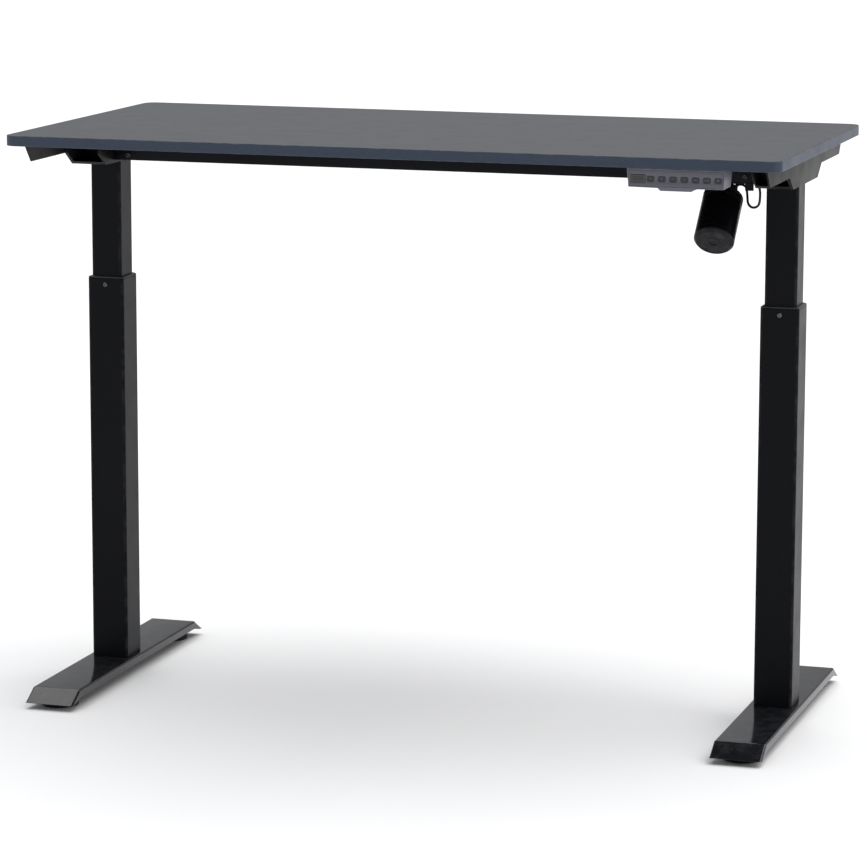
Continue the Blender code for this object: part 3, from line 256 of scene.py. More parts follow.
def eased(points: list[tuple[float, float]], radius: float | list[float], steps: int = 3) -> np.ndarray:
    """An open line of (radius, height) points with its inner corners rounded.

    It is the outline of the line and its way back, of which only the way out is kept.

    Args:
        points: The line's points.
        radius: One radius, or one for each inner corner.
        steps: Pieces in each arc.

    Returns:
        Rows of (radius, height, edge).
    """
    spot = np.asarray(points, float)
    inner = spot[1:-1]
    bend = np.broadcast_to(np.asarray(radius, float), len(inner))[:, None]
    before, after = spot[:-2] - inner, spot[2:] - inner
    reach = np.minimum(np.linalg.norm(before, axis=1), np.linalg.norm(after, axis=1))[:, None]
    before /= np.linalg.norm(before, axis=1, keepdims=True)
    after /= np.linalg.norm(after, axis=1, keepdims=True)
    half = np.arccos(np.clip((before * after).sum(1), -1, 1))[:, None] / 2
    bend = np.minimum(bend, 0.45 * reach * np.tan(half))
    share = np.linspace(0, 1, steps + 1)[None, :, None]
    start = (inner + before * bend / np.tan(half))[:, None]
    end = (inner + after * bend / np.tan(half))[:, None]
    corner = inner[:, None]
    curve = ((1 - share) ** 2 * start + 2 * share * (1 - share) * corner + share**2 * end).reshape(-1, 2)
    edge = np.ones((len(curve), 1))
    return np.concatenate([[[*spot[0], 0.0]], np.hstack([curve, edge]), [[*spot[-1], 0.0]]])


# ---------------------------------------------------------------- surfaces


@dataclass
class Skin:
    """One grid of points: points[v, u] lies v along the surface and u round it."""

    points: np.ndarray
    edge: np.ndarray | None = None
    round_u: bool = True
    round_v: bool = False
    caps: tuple[bool, bool] = (False, False)
    finish: int = 0

    def faces(self, first: int) -> list[list[int]]:
        """The grid's faces, with its points numbered from first."""
        rows, columns = self.points.shape[:2]
        index = first + np.arange(rows * columns).reshape(rows, columns)
        ends = (index[0][::-1].tolist(), index[-1].tolist())
        if self.round_v:
            index = np.vstack([index, index[:1]])
        if self.round_u:
            index = np.hstack([index, index[:, :1]])
        quads = np.stack([index[:-1, :-1], index[:-1, 1:], index[1:, 1:], index[1:, :-1]], axis=-1)
        return quads.reshape(-1, 4).tolist() + [end for end, wanted in zip(ends, self.caps) if wanted]


def lifted(rings: np.ndarray, heights: np.ndarray) -> np.ndarray:
    """Rings of flat points, (rows, points, 2), each given its row's height."""
    return np.concatenate([rings, np.broadcast_to(heights[:, None, None], (*rings.shape[:2], 1))], axis=-1)


def slab(
    outline: Outline,
    low: float,
    high: float,
    place: Placement = UPWARD,
    low_rim: float = 0.0004,
    high_rim: float = 0.0004,
    finish: int = 0,
    steps: int = 3,
) -> Skin:
    """An outline carried along its own normal, with rounded rims.

    The surface at (u, v) is outline(u) less inset(v) along the outline's normal, at height(v).
    """
    rows = rim_rows(low, high, low_rim, high_rim, steps)
    edge = np.maximum(rows[:, 2][:, None], outline.edge[None, :])
    return Skin(place(lifted(outline.inset(rows[:, 0]), rows[:, 1])), edge, caps=(True, True), finish=finish)


def tube(outline: Outline, wall: float, low: float, high: float, rim: float, place: Placement) -> Skin:
    """An outline carried up the outside of a tube, over its end, down the inside and back."""
    side = rim + SHOULDER
    rows = np.array(
        [
            (0.0, low + side, 0.0),
            (0.0, high - side, 0.0),
            (0.0, high - rim, 1.0),
            (0.3 * rim, high - 0.3 * rim, 1.0),
            (rim, high, 1.0),
            (wall - rim / 2, high, 0.6),
            (wall, high - rim / 2, 0.4),
            (wall, low + rim / 2, 0.4),
            (wall - rim / 2, low, 0.6),
            (rim, low, 1.0),
            (0.3 * rim, low + 0.3 * rim, 1.0),
            (0.0, low + rim, 1.0),
        ]
    )
    edge = np.maximum(rows[:, 2][:, None], outline.edge[None, :])
    return Skin(place(lifted(outline.inset(rows[:, 0]), rows[:, 1])), edge, round_v=True)


def turned(
    rows: np.ndarray, place: Placement = UPWARD, steps: int = 64, finish: int = 0, closed: bool = False
) -> Skin:
    """Rows of (radius, height, edge) turned about the local third axis.

    The surface at (u, v) is radius(v) * (cos u, sin u) at height(v).
    """
    turn = np.linspace(0, 2 * math.pi, steps, endpoint=False)
    ring = np.stack([np.cos(turn), np.sin(turn), np.zeros(steps)], axis=1)
    points = rows[:, 0][:, None, None] * ring + rows[:, 1][:, None, None] * np.array([0, 0, 1.0])
    edge = np.broadcast_to(rows[:, 2][:, None], points.shape[:2])
    return Skin(place(points), edge, round_v=closed, finish=finish)


def socket_head(radius: float, height: float, flats: float, place: Placement, finish: int = 0) -> Skin:
    """A button head with a hexagonal socket, base at the local origin.

    Ring v has radius (1 - m) * r + m * hexagon(u), where m goes from 0 on the dome to 1 in the
    socket, and hexagon(u) is half the width across flats over cos of the angle from the flat.
    """
    turn = np.linspace(0, 2 * math.pi, 36, endpoint=False)
    hexagon = flats / 2 / np.cos((turn % (math.pi / 3)) - math.pi / 6)
    rows = np.array(
        [
            (0.0, 0.0, 0.0),
            (0.96 * radius, 0.0, 0.0),
            (radius, 0.16 * height, 0.0),
            (0.97 * radius, 0.42 * height, 0.0),
            (0.84 * radius, 0.76 * height, 0.0),
            (0.66 * radius, height, 0.0),
            (0.50 * radius, height, 0.6),
            (0.00, height, 1.0),
            (0.00, 0.42 * height, 1.0),
            (-flats / 2, 0.36 * height, 1.0),
        ]
    )
    base, share = rows[:, 0][:, None], rows[:, 2][:, None]
    reach = np.where(rows[:, 0][:, None] < 0, 0.0, (1 - share) * base + share * hexagon)
    points = lifted(np.stack([reach * np.cos(turn), reach * np.sin(turn)], axis=-1), rows[:, 1])
    edge = np.broadcast_to(np.array([0, 0.3, 1, 0.6, 0.4, 0.4, 1, 1, 0, 0])[:, None], reach.shape)
    return Skin(place(points), edge, finish=finish)


def bolt_circle(reach: float, angles: tuple[float, ...], height: float, axis: Placement) -> list[Point]:
    """Places at each angle, in degrees, on a circle round an axis."""
    return [
        tuple(axis(np.array([reach * math.cos(math.radians(a)), reach * math.sin(math.radians(a)), height])))
        for a in angles
    ]


def spread(skins: list[Skin], shifts: list[Point]) -> list[Skin]:
    """The same surfaces again at each shift."""
    return [
        replace(skin, points=skin.points + np.asarray(shift, float))
        for shift in shifts
        for skin in skins
    ]


# ---------------------------------------------------------------- finishes


class Wire:
    """A node's output, on which Python arithmetic adds Math nodes."""

    def __init__(self, book: "FinishBook", socket: bpy.types.NodeSocket) -> None:
        """Keep the socket with the node tree it is in."""
        self.book, self.socket = book, socket

    def _math(self, operation: str, other: "Wire | float", swapped: bool = False) -> "Wire":
        """The Math node of this output and another value."""
        pair = (other, self) if swapped else (self, other)
        return self.book.node("ShaderNodeMath", {"operation": operation}, {0: pair[0], 1: pair[1]})

    def __add__(self, other: "Wire | float") -> "Wire":
        """Sum."""
        return self._math("ADD", other)

    def __sub__(self, other: "Wire | float") -> "Wire":
        """Difference."""
        return self._math("SUBTRACT", other)

    def __rsub__(self, other: float) -> "Wire":
        """Difference from a number."""
        return self._math("SUBTRACT", other, swapped=True)

    def __mul__(self, other: "Wire | float") -> "Wire":
        """Product."""
        return self._math("MULTIPLY", other)

    __radd__ = __add__
    __rmul__ = __mul__

    def least(self, other: "Wire | float") -> "Wire":
        """The smaller of the two."""
        return self._math("MINIMUM", other)

    def most(self, other: "Wire | float") -> "Wire":
        """The larger of the two."""
        return self._math("MAXIMUM", other)

    def held(self) -> "Wire":
        """The value kept between 0 and 1."""
        return self.most(0.0).least(1.0)

    def step(self, low: float, high: float) -> "Wire":
        """A smooth step from 0 at low to 1 at high."""
        return self.book.node(
            "ShaderNodeMapRange",
            {"interpolation_type": "SMOOTHSTEP"},
            {"Value": self, "From Min": low, "From Max": high, "To Min": 0.0, "To Max": 1.0},
        )


class FinishBook:
    """One material's node tree, and the one way in which nodes are added to it."""

    def __init__(self, material: bpy.types.Material) -> None:
        """Work on the material's tree."""
        self.tree = material.node_tree

    def node(
        self, kind: str, settings: dict | None = None, inputs: dict | None = None, output: int | str = 0
    ) -> Wire:
        """Add a node.

        Args:
            kind: The node's type.
            settings: What is set on the node itself, before its sockets.
            inputs: Values and wires of its sockets.
            output: The socket that is returned.

        Returns:
            The node's output as a wire.
        """
        made = self.tree.nodes.new(kind)
        for name, value in (settings or {}).items():
            setattr(made, name, value)
        for name, value in (inputs or {}).items():
            socket = made.inputs[name]
            if isinstance(value, Wire):
                self.tree.links.new(value.socket, socket)
            else:
                socket.default_value = value
        return Wire(self, made.outputs[output])

    def place(self, stretch: Point = (1.0, 1.0, 1.0)) -> Wire:
        """Object coordinates, scaled along each axis."""
        here = self.node("ShaderNodeTexCoord", output="Object")
        if stretch == (1.0, 1.0, 1.0):
            return here
        return self.node("ShaderNodeMapping", {"vector_type": "POINT"}, {"Vector": here, "Scale": stretch})

    def noise(self, scale: float, detail: float = 2.0, stretch: Point = (1.0, 1.0, 1.0)) -> Wire:
        """Noise about one half, at a scale in features per metre."""
        where = {"Vector": self.place(stretch), "Scale": scale, "Detail": detail, "Roughness": 0.55}
        return self.node("ShaderNodeTexNoise", None, where)

    def cells(self, scale: float, feature: str = "F1") -> Wire:
        """Distance to the middle of cells, or to their edges."""
        return self.node(
            "ShaderNodeTexVoronoi", {"feature": feature}, {"Vector": self.place(), "Scale": scale}, "Distance"
        )

    def attribute(self, name: str) -> Wire:
        """A number that the mesh carries."""
        return self.node("ShaderNodeAttribute", {"attribute_name": name}, None, "Fac")

    def blend(self, share: Wire, first: "Wire | Colour", second: "Wire | Colour") -> Wire:
        """A colour between two."""
        ends = [value if isinstance(value, Wire) else (*value, 1.0) for value in (first, second)]
        return self.node("ShaderNodeMix", {"data_type": "RGBA"}, {0: share, 6: ends[0], 7: ends[1]}, 2)


@dataclass(frozen=True)
class Finish:
    """A finish: two colours it drifts between, its gloss, its relief, and how its edges wear."""

    name: str
    slot: str
    colour: Colour
    second: Colour
    roughness: float
    drift: float = 0.06
    metallic: float = 0.0
    specular: float = 0.5
    coat: float = 0.0
    coat_roughness: float = 0.08
    grain: float = 1400.0
    depth: float = 0.00004
    worn_colour: Colour = (0.06, 0.06, 0.062)
    wear: float = 0.35
    made: ClassVar[dict[str, bpy.types.Material]] = {}

    def relief(self, book: FinishBook) -> Wire:
        """The height pattern: fine even grain."""
        return book.noise(self.grain, 3.0)

    def tint(self, book: FinishBook) -> Wire:
        """The share of the second colour: slow clouds with a little of the grain in them."""
        return (book.noise(7.0, 4.0) * 0.9 + book.noise(self.grain * 0.8, 1.0) * 0.6 - 0.25).held()

    def material(self) -> bpy.types.Material:
        """The finish as a material, made once."""
        if self.name in Finish.made:
            return Finish.made[self.name]
        material = bpy.data.materials.new(self.name)
        material.use_nodes = True
        book = FinishBook(material)
        shader = material.node_tree.nodes["Principled BSDF"]
        share = self.tint(book)
        worn = ((book.attribute("edge") * book.noise(60.0, 5.0)).step(0.38, 0.66)) * self.wear
        colour = book.blend(worn, book.blend(share, self.colour, self.second), self.worn_colour)
        scuff = book.noise(23.0, 5.0).step(0.35, 0.75)
        roughness = (self.roughness + (scuff - 0.5) * self.drift - worn * 0.12).most(0.03)
        bump = book.node(
            "ShaderNodeBump", None, {"Strength": 1.0, "Distance": self.depth, "Height": self.relief(book)}
        )
        links = material.node_tree.links
        links.new(colour.socket, shader.inputs["Base Color"])
        links.new(roughness.socket, shader.inputs["Roughness"])
        links.new(bump.socket, shader.inputs["Normal"])
        shader.inputs["Metallic"].default_value = self.metallic
        shader.inputs["Specular IOR Level"].default_value = self.specular
        shader.inputs["Coat Weight"].default_value = self.coat
        shader.inputs["Coat Roughness"].default_value = self.coat_roughness
        material.diffuse_color = (*self.colour, 1)
        Finish.made[self.name] = material
        return material


@dataclass(frozen=True)
class DeskFilm(Finish):
    """Laminate with a pressed fine leather grain: rounded cells with creases between them."""

    def relief(self, book: FinishBook) -> Wire:
        """Cells in two sizes and a fine tooth over them."""
        creases = book.cells(self.grain, "DISTANCE_TO_EDGE").step(0.0, 0.28)
        fine = book.cells(self.grain * 2.3) * 0.5
        return creases * 0.7 - fine + book.noise(self.grain * 4, 2.0) * 0.3

    def tint(self, book: FinishBook) -> Wire:
        """Mostly the grain's own cells, over clouds too faint to pick out."""
        speckle = book.cells(self.grain * 0.6) * 0.5 + book.noise(self.grain * 0.25, 2.0) * 0.5
        return (speckle + book.noise(5.0, 3.0) * 0.25 - 0.1).held()


@dataclass(frozen=True)
class PowderCoat(Finish):
    """Powder coat: a soft orange peel under a fine tooth."""

    peel: float = 330.0

    def relief(self, book: FinishBook) -> Wire:
        """Broad peel and fine tooth."""
        return book.noise(self.peel, 2.0) + book.noise(self.grain, 2.0) * 0.25


@dataclass(frozen=True)
class WorkedMetal(Finish):
    """Metal with tool marks drawn out along one axis."""

    marks: Point = (1.0, 1.0, 0.04)

    def relief(self, book: FinishBook) -> Wire:
        """Fine lines along the axis."""
        return book.noise(self.grain, 4.0, self.marks)

    def tint(self, book: FinishBook) -> Wire:
        """Lines and clouds of duller metal."""
        return (book.noise(self.grain * 0.6, 3.0, self.marks) * 0.7 + book.noise(30.0, 4.0) * 0.5 - 0.1).held()


@dataclass(frozen=True)
class MouldedPlastic(Finish):
    """Plastic from a spark-eroded mould."""

    def relief(self, book: FinishBook) -> Wire:
        """Small rounded pits."""
        return book.cells(self.grain, "SMOOTH_F1") + book.noise(self.grain * 2, 2.0) * 0.4


@dataclass(frozen=True)
class Enamel(Finish):
    """Wet-sprayed enamel, with long slow waves in its gloss."""

    def relief(self, book: FinishBook) -> Wire:
        """Slow waves and a few specks."""
        specks = 1 - book.cells(self.grain).step(0.02, 0.12)
        return book.noise(120.0, 2.0) + specks * 0.15


FILM = DeskFilm(
    "desk_film", "desk_film", (0.070, 0.075, 0.081), (0.085, 0.090, 0.097), 0.52, grain=620.0,
    depth=0.00005, specular=0.16, wear=0.3, worn_colour=(0.15, 0.155, 0.17)
)
# The top film made darker and bluer for the board's edge: painted shade on the side faces.
EDGE_FILM_PAINTED_SHADE = DeskFilm(
    "edge_film_painted_shade", "desk_film", (0.032, 0.044, 0.070), (0.046, 0.060, 0.088), 0.42, grain=620.0,
    depth=0.00004, specular=0.2, wear=0.5, worn_colour=(0.12, 0.13, 0.15)
)
# Near black for the board's underside: painted shade on the faces that look down.
UNDERSIDE = MouldedPlastic(
    "underside_painted_shade", "desk_film", (0.010, 0.010, 0.011), (0.020, 0.020, 0.021), 0.55, grain=500.0, specular=0.3
)
COAT = PowderCoat(
    "powder_coat", "powder_coat", (0.0035, 0.0038, 0.0052), (0.0065, 0.0070, 0.0090), 0.34, grain=1500.0,
    depth=0.00005, specular=0.07, worn_colour=(0.04, 0.04, 0.045)
)
FOOT_COAT = PowderCoat(
    "foot_coat", "powder_coat", (0.006, 0.0065, 0.008), (0.010, 0.0105, 0.013), 0.16, grain=1500.0,
    depth=0.000022, peel=240.0, specular=0.40, worn_colour=(0.04, 0.04, 0.045)
)
BRACKET_COAT = PowderCoat(
    "bracket_coat", "powder_coat", (0.006, 0.006, 0.0065), (0.011, 0.0105, 0.0115), 0.42, grain=1500.0,
    depth=0.00005, specular=0.09, worn_colour=(0.05, 0.048, 0.048), wear=0.5
)
BARE_STEEL = WorkedMetal(
    "bare_steel", "bare_steel", (0.42, 0.42, 0.43), (0.58, 0.58, 0.59), 0.34, 0.14, 1.0, grain=900.0
)
ZINC = WorkedMetal(
    "bright_zinc", "zinc", (0.50, 0.52, 0.55), (0.66, 0.67, 0.68), 0.26, 0.16, 1.0, grain=700.0,
    marks=(0.05, 1.0, 1.0)
)
DULL_ZINC = WorkedMetal(
    "dull_zinc", "zinc", (0.09, 0.092, 0.10), (0.15, 0.153, 0.16), 0.52, 0.16, 1.0, grain=700.0
)
SCREW_BLACK = WorkedMetal(
    "blackened_screw", "powder_coat", (0.016, 0.016, 0.018), (0.030, 0.030, 0.033), 0.30, 0.12, 0.6,
    grain=900.0, worn_colour=(0.12, 0.12, 0.125)
)
BRONZE = WorkedMetal(
    "gear_bronze", "bronze", (0.55, 0.38, 0.17), (0.70, 0.52, 0.27), 0.36, 0.14, 1.0, grain=800.0
)
BLACK_PLASTIC = MouldedPlastic(
    "black_plastic", "black_plastic", (0.008, 0.008, 0.009), (0.016, 0.016, 0.018), 0.46, grain=1100.0,
    specular=0.18, worn_colour=(0.04, 0.04, 0.042)
)
COLLAR_PLASTIC = MouldedPlastic(
    "collar_plastic", "black_plastic", (0.014, 0.015, 0.018), (0.024, 0.025, 0.030), 0.38, grain=1100.0,
    worn_colour=(0.06, 0.06, 0.065)
)
ACETAL = MouldedPlastic(
    "white_acetal", "white_plastic", (0.70, 0.70, 0.66), (0.80, 0.80, 0.77), 0.40, grain=900.0,
    worn_colour=(0.6, 0.6, 0.57)
)
MOTOR_ENAMEL = Enamel(
    "motor_enamel", "motor_black", (0.0018, 0.0019, 0.0026), (0.004, 0.0042, 0.0055), 0.20, 0.08,
    specular=0.04, grain=260.0, depth=0.00003, worn_colour=(0.02, 0.02, 0.024)
)
CAP_PLASTIC = MouldedPlastic(
    "cap_plastic", "cap_plastic", (0.009, 0.009, 0.011), (0.017, 0.017, 0.020), 0.40, grain=900.0,
    specular=0.10, worn_colour=(0.05, 0.05, 0.056)
)
JACKET = MouldedPlastic(
    "cable_jacket", "cable_jacket", (0.004, 0.004, 0.004), (0.010, 0.010, 0.010), 0.40, grain=1600.0
)
HANDSET_PLASTIC = MouldedPlastic(
    "handset_plastic", "handset_grey", (0.090, 0.090, 0.115), (0.118, 0.116, 0.146), 0.42, grain=1500.0,
    depth=0.00003, worn_colour=(0.22, 0.21, 0.26), wear=0.6
)
FACE_PLASTIC = MouldedPlastic(
    "face_plastic", "handset_grey", (0.074, 0.074, 0.096), (0.098, 0.098, 0.122), 0.38, grain=1800.0,
    depth=0.00002, worn_colour=(0.16, 0.16, 0.20)
)
GLASS = Enamel(
    "display_glass", "display", (0.004, 0.004, 0.006), (0.006, 0.006, 0.009), 0.07, 0.02, coat=0.5,
    coat_roughness=0.03, grain=200.0, depth=0.000004, wear=0.0
)
SEGMENTS = Finish("display_segments", "display", (0.018, 0.020, 0.024), (0.024, 0.026, 0.030), 0.30, wear=0.0)
KEY_CAP = MouldedPlastic(
    "key_cap", "key_black", (0.014, 0.014, 0.018), (0.022, 0.022, 0.027), 0.44, grain=2000.0, depth=0.00002,
    worn_colour=(0.05, 0.05, 0.055)
)
KEY_MARK = Finish("key_mark", "key_black", (0.14, 0.145, 0.155), (0.18, 0.185, 0.195), 0.5, wear=0.0)
RUBBER = MouldedPlastic(
    "pad_rubber", "pad_rubber", (0.007, 0.007, 0.007), (0.014, 0.014, 0.014), 0.62, grain=1200.0,
    specular=0.3, worn_colour=(0.05, 0.05, 0.048), wear=0.5
)


# ---------------------------------------------------------------- making pieces


def in_scene(name: str, data: bpy.types.ID) -> Node:
    """An object of this data, linked to the scene."""
    made = bpy.data.objects.new(name, data)
    bpy.context.scene.collection.objects.link(made)
    return made


def to_object(name: str, mesh: bpy.types.Mesh, finishes: list[Finish], body: str) -> Node:
    """Dress a finished mesh and let it ride on its body."""
    for finish in finishes:
        mesh.materials.append(finish.material())
    mesh.shade_smooth()
    mesh.set_sharp_from_angle(angle=math.radians(SHARP_ANGLE))
    piece = in_scene(name, mesh)
    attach(piece, body)
    log.info("%s on %s: %d faces", name, body, len(mesh.polygons))
    return piece


def build(
    name: str,
    skins: list[Skin],
    finishes: list[Finish],
    body: str,
    nodes: tuple[str, ...] = (),
    pick: Callable[[np.ndarray], np.ndarray] | None = None,
) -> Node:
    """Make one piece from its surfaces.

    Args:
        name: The piece's name.
        skins: Its surfaces, each a closed shell.
        finishes: Its finishes, in the order of the skins' finish numbers.
        body: The CAD body it moves with.
        nodes: The CAD nodes it stands for.
        pick: Gives each face's finish number from the (n, 3) face normals.

    Returns:
        The piece.
    """
    faces, kinds, first = [], [], 0
    for skin in skins:
        made = skin.faces(first)
        faces += made
        kinds += [skin.finish] * len(made)
        first += skin.points.shape[0] * skin.points.shape[1]
    mesh = bpy.data.meshes.new(name)
    mesh.from_pydata(np.concatenate([skin.points.reshape(-1, 3) for skin in skins]).tolist(), [], faces)
    edges = [np.zeros(s.points.shape[:2]) if s.edge is None else s.edge for s in skins]
    wear = mesh.attributes.new("edge", "FLOAT", "POINT")
    wear.data.foreach_set("value", np.concatenate([e.reshape(-1) for e in edges]).astype(np.float32))
    mesh.polygons.foreach_set("material_index", np.asarray(kinds, np.int32))
    shape = bmesh.new()
    shape.from_mesh(mesh)
    bmesh.ops.remove_doubles(shape, verts=shape.verts, dist=WELD)
    bmesh.ops.recalc_face_normals(shape, faces=shape.faces)
    shape.to_mesh(mesh)
    shape.free()
    if pick is not None:
        normals = np.empty(len(mesh.polygons) * 3, np.float32)
        mesh.polygons.foreach_get("normal", normals)
        mesh.polygons.foreach_set("material_index", pick(normals.reshape(-1, 3)).astype(np.int32))
    piece = to_object(name, mesh, finishes, body)
    if nodes:
        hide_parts(*nodes)
    return piece


def refined(name: str, node: str, finish: Finish, body: str, width: float = 0.0004, sharp: float = 28.0) -> Node:
    """A merged copy of a perforated CAD solid with its edges rounded over, which stands for it.

    Args:
        name: The piece's name.
        node: The CAD node.
        finish: Its finish.
        body: The body it moves with.
        width: Width of the rounding.
        sharp: The least angle, in degrees, at which an edge is rounded.

    Returns:
        The piece.
    """
    shape = bmesh.new()
    shape.from_mesh(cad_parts[node].data)
    bmesh.ops.remove_doubles(shape, verts=shape.verts, dist=CAD_WELD)
    bmesh.ops.dissolve_limit(shape, angle_limit=math.radians(FLAT_ANGLE), verts=shape.verts, edges=shape.edges)
    edges = [e for e in shape.edges if len(e.link_faces) == 2 and e.calc_face_angle(0.0) > math.radians(sharp)]
    layer = shape.faces.layers.float.new("edge")
    made = bmesh.ops.bevel(
        shape,
        geom=edges,
        offset=width,
        offset_type="OFFSET",
        segments=2,
        profile=0.6,
        affect="EDGES",
        clamp_overlap=True,
    )
    for face in made["faces"]:
        face[layer] = 1.0
    mesh = bpy.data.meshes.new(name)
    shape.to_mesh(mesh)
    shape.free()
    piece = to_object(name, mesh, [finish], body)
    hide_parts(node)
    return piece


def middle(node: str) -> Vector:
    """The centre of a CAD node's box."""
    low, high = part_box(node)
    return (low + high) / 2


# ---------------------------------------------------------------- camera, floor and light


@dataclass(frozen=True)
class Viewpoint:
    """Where the desk is looked at from."""

    location: Point = (1.7321, -5.6197, 1.4633)
    yaw: float = 17.21
    pitch: float = 79.934
    roll: float = 0.149
    lens: float = 158.6

    def build(self) -> None:
        """Make the camera and give it to the scene."""
        camera = bpy.data.cameras.new("camera")
        camera.lens, camera.sensor_width = self.lens, 36.0
        holder = in_scene("camera", camera)
        turns = ((self.yaw, "Z"), (self.pitch, "X"), (self.roll, "Z"))
        first, second, third = (Matrix.Rotation(math.radians(angle), 4, axis) for angle, axis in turns)
        holder.matrix_world = Matrix.Translation(self.location) @ first @ second @ third
        bpy.context.scene.camera = holder


@dataclass(frozen=True)
class SoftLight:
    """One soft light: a panel, or, with no size, daylight from the same direction everywhere."""

    name: str
    location: Point
    target: Point
    size: tuple[float, float] | None
    power: float
    spread: float = 50.0

    def build(self) -> None:
        """Make the light, facing its target."""
        lamp = bpy.data.lights.new(self.name, "AREA" if self.size else "SUN")
        lamp.energy = self.power
        if self.size:
            lamp.shape, lamp.size, lamp.size_y = "RECTANGLE", *self.size
        else:
            lamp.angle = math.radians(self.spread)
        holder = in_scene(self.name, lamp)
        holder.location = self.location
        toward = Vector(self.target) - Vector(self.location)
        holder.rotation_euler = toward.to_track_quat("-Z", "Y").to_euler()
        holder.visible_camera = False


@dataclass(frozen=True)
class Studio:
    """A plain pale floor under soft light."""

    reach: float = 30.0
    surround: float = 0.42
    lights: tuple[SoftLight, ...] = (
        SoftLight("overhead", (0.5, 1.1, 4.0), (0.0, 0.0, 0.0), None, 2.9, 75.0),
        SoftLight("from_right", (3.2, -0.4, 1.6), (0.4, 0.0, 0.5), (1.6, 1.8), 13.0),
        SoftLight("from_left", (-3.2, -3.4, 1.6), (-0.6, 0.0, 0.7), (2.6, 2.2), 9.0),
    )

    def floor(self) -> None:
        """A level sheet whose far rim rises a little, height = 0.02 * (r / reach) ** 8."""
        turn = np.linspace(0, 2 * math.pi, 96, endpoint=False)
        ring = np.linspace(0, self.reach, 40)[:, None]
        height = 0.02 * (ring / self.reach) ** 8 + 0 * turn
        skin = Skin(np.stack([ring * np.cos(turn), ring * np.sin(turn), height - 0.0002], axis=-1))
        mesh = bpy.data.meshes.new("studio_floor")
        mesh.from_pydata(skin.points.reshape(-1, 3).tolist(), [], skin.faces(0))
        material = bpy.data.materials.new("pale_floor")
        material.use_nodes = True
        book = FinishBook(material)
        shader = material.node_tree.nodes["Principled BSDF"]
        tone = book.blend(book.noise(1.5, 3.0), (0.88, 0.88, 0.885), (0.91, 0.91, 0.91))
        material.node_tree.links.new(tone.socket, shader.inputs["Base Color"])
        shader.inputs["Roughness"].default_value = 0.8
        shader.inputs["Specular IOR Level"].default_value = 0.2
        mesh.materials.append(material)
        in_scene("studio_floor", mesh)

    def build(self) -> None:
        """Make the floor, the lights and the pale surroundings."""
        bpy.context.scene.view_settings.view_transform = "Standard"
        self.floor()
        for light in self.lights:
            light.build()
        world = bpy.data.worlds.new("pale_room")
        world.use_nodes = True
        sky = world.node_tree.nodes["Background"].inputs
        sky["Color"].default_value, sky["Strength"].default_value = (0.97, 0.98, 1.0, 1), self.surround
        bpy.context.scene.world = world


# ---------------------------------------------------------------- motor lead


@dataclass(frozen=True)
class MotorLead:
    """The lead from the gearbox, in one low loop through the bracket and back rail to the box.

    Its points are x from the motor's axis, y, and depth below the desktop's underside.
    """

    diameter: float = 0.0038
    spacing: float = 0.006
    route: tuple[Point, ...] = (
        (0.0205, -0.0065, 0.0516),
        (0.0237, -0.0065, 0.0516),
        (0.0267, -0.0069, 0.0521),
        (0.0294, -0.0072, 0.0537),
        (0.0313, -0.0077, 0.0560),
        (0.0324, -0.0085, 0.0589),
        (0.0334, -0.0103, 0.0646),
        (0.0344, -0.0123, 0.0704),
        (0.0354, -0.0142, 0.0762),
        (0.0373, -0.0156, 0.0804),
        (0.0409, -0.0170, 0.0834),
        (0.0454, -0.0182, 0.0843),
        (0.0499, -0.0194, 0.0830),
        (0.0533, -0.0202, 0.0799),
        (0.0548, -0.0207, 0.0755),
        (0.0555, -0.0209, 0.0691),
        (0.0556, -0.0209, 0.0621),
        (0.0545, -0.0201, 0.0552),
        (0.0523, -0.0193, 0.0486),
        (0.0495, -0.0150, 0.0398),
        (0.0465, -0.0060, 0.0355),
        (0.0440, 0.0080, 0.0333),
        (0.0405, 0.0230, 0.0295),
        (0.0345, 0.0380, 0.0250),
        (0.0295, 0.0520, 0.0224),
        (0.0250, 0.0640, 0.0226),
        (0.0160, 0.0780, 0.0248),
        (0.0010, 0.0890, 0.0276),
        (-0.0195, 0.0955, 0.0292),
        (-0.0435, 0.0988, 0.0290),
        (-0.0675, 0.0998, 0.0274),
        (-0.0815, 0.1000, 0.0262),
        (-0.0855, 0.1000, 0.0260),
        (-0.0887, 0.1000, 0.0260),
    )

    def line(self) -> np.ndarray:
        """Points on the Catmull-Rom curve through the route, about a third of the spacing apart."""
        knots = np.array([(MOTOR_X + x, y, DESK_UNDERSIDE - drop) for x, y, drop in self.route])
        knots = np.vstack([2 * knots[0] - knots[1], knots, 2 * knots[-1] - knots[-2]])
        a, b, c, d = (knots[i : len(knots) - 3 + i, None] for i in range(4))
        t = np.linspace(0, 1, 16, endpoint=False)[None, :, None]
        fine = 0.5 * (2 * b + (c - a) * t + (2 * a - 5 * b + 4 * c - d) * t**2 + (3 * (b - c) + d - a) * t**3)
        fine = np.vstack([fine.reshape(-1, 3), knots[-2]])
        walked = np.concatenate([[0], np.cumsum(np.linalg.norm(np.diff(fine, axis=0), axis=1))])
        marks = np.linspace(0, walked[-1], round(3 * walked[-1] / self.spacing) + 1)
        return np.stack([np.interp(marks, walked, fine[:, axis]) for axis in range(3)], axis=1)

    def build(self) -> Node:
        """The lead as a round curve that goes back into the desk."""
        line = self.line()
        curve = bpy.data.curves.new("lead", "CURVE")
        curve.dimensions = "3D"
        curve.bevel_depth = self.diameter / 2
        curve.bevel_resolution = 5
        curve.use_fill_caps = True
        spline = curve.splines.new("POLY")
        spline.points.add(len(line) - 1)
        spline.points.foreach_set("co", np.hstack([line, np.ones((len(line), 1))]).ravel())
        spline.use_smooth = True
        curve.materials.append(JACKET.material())
        lead = in_scene("lead", curve)
        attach(lead, "top")
        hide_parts("motor_lead")
        return lead


# ---------------------------------------------------------------- desktop, rails and brackets


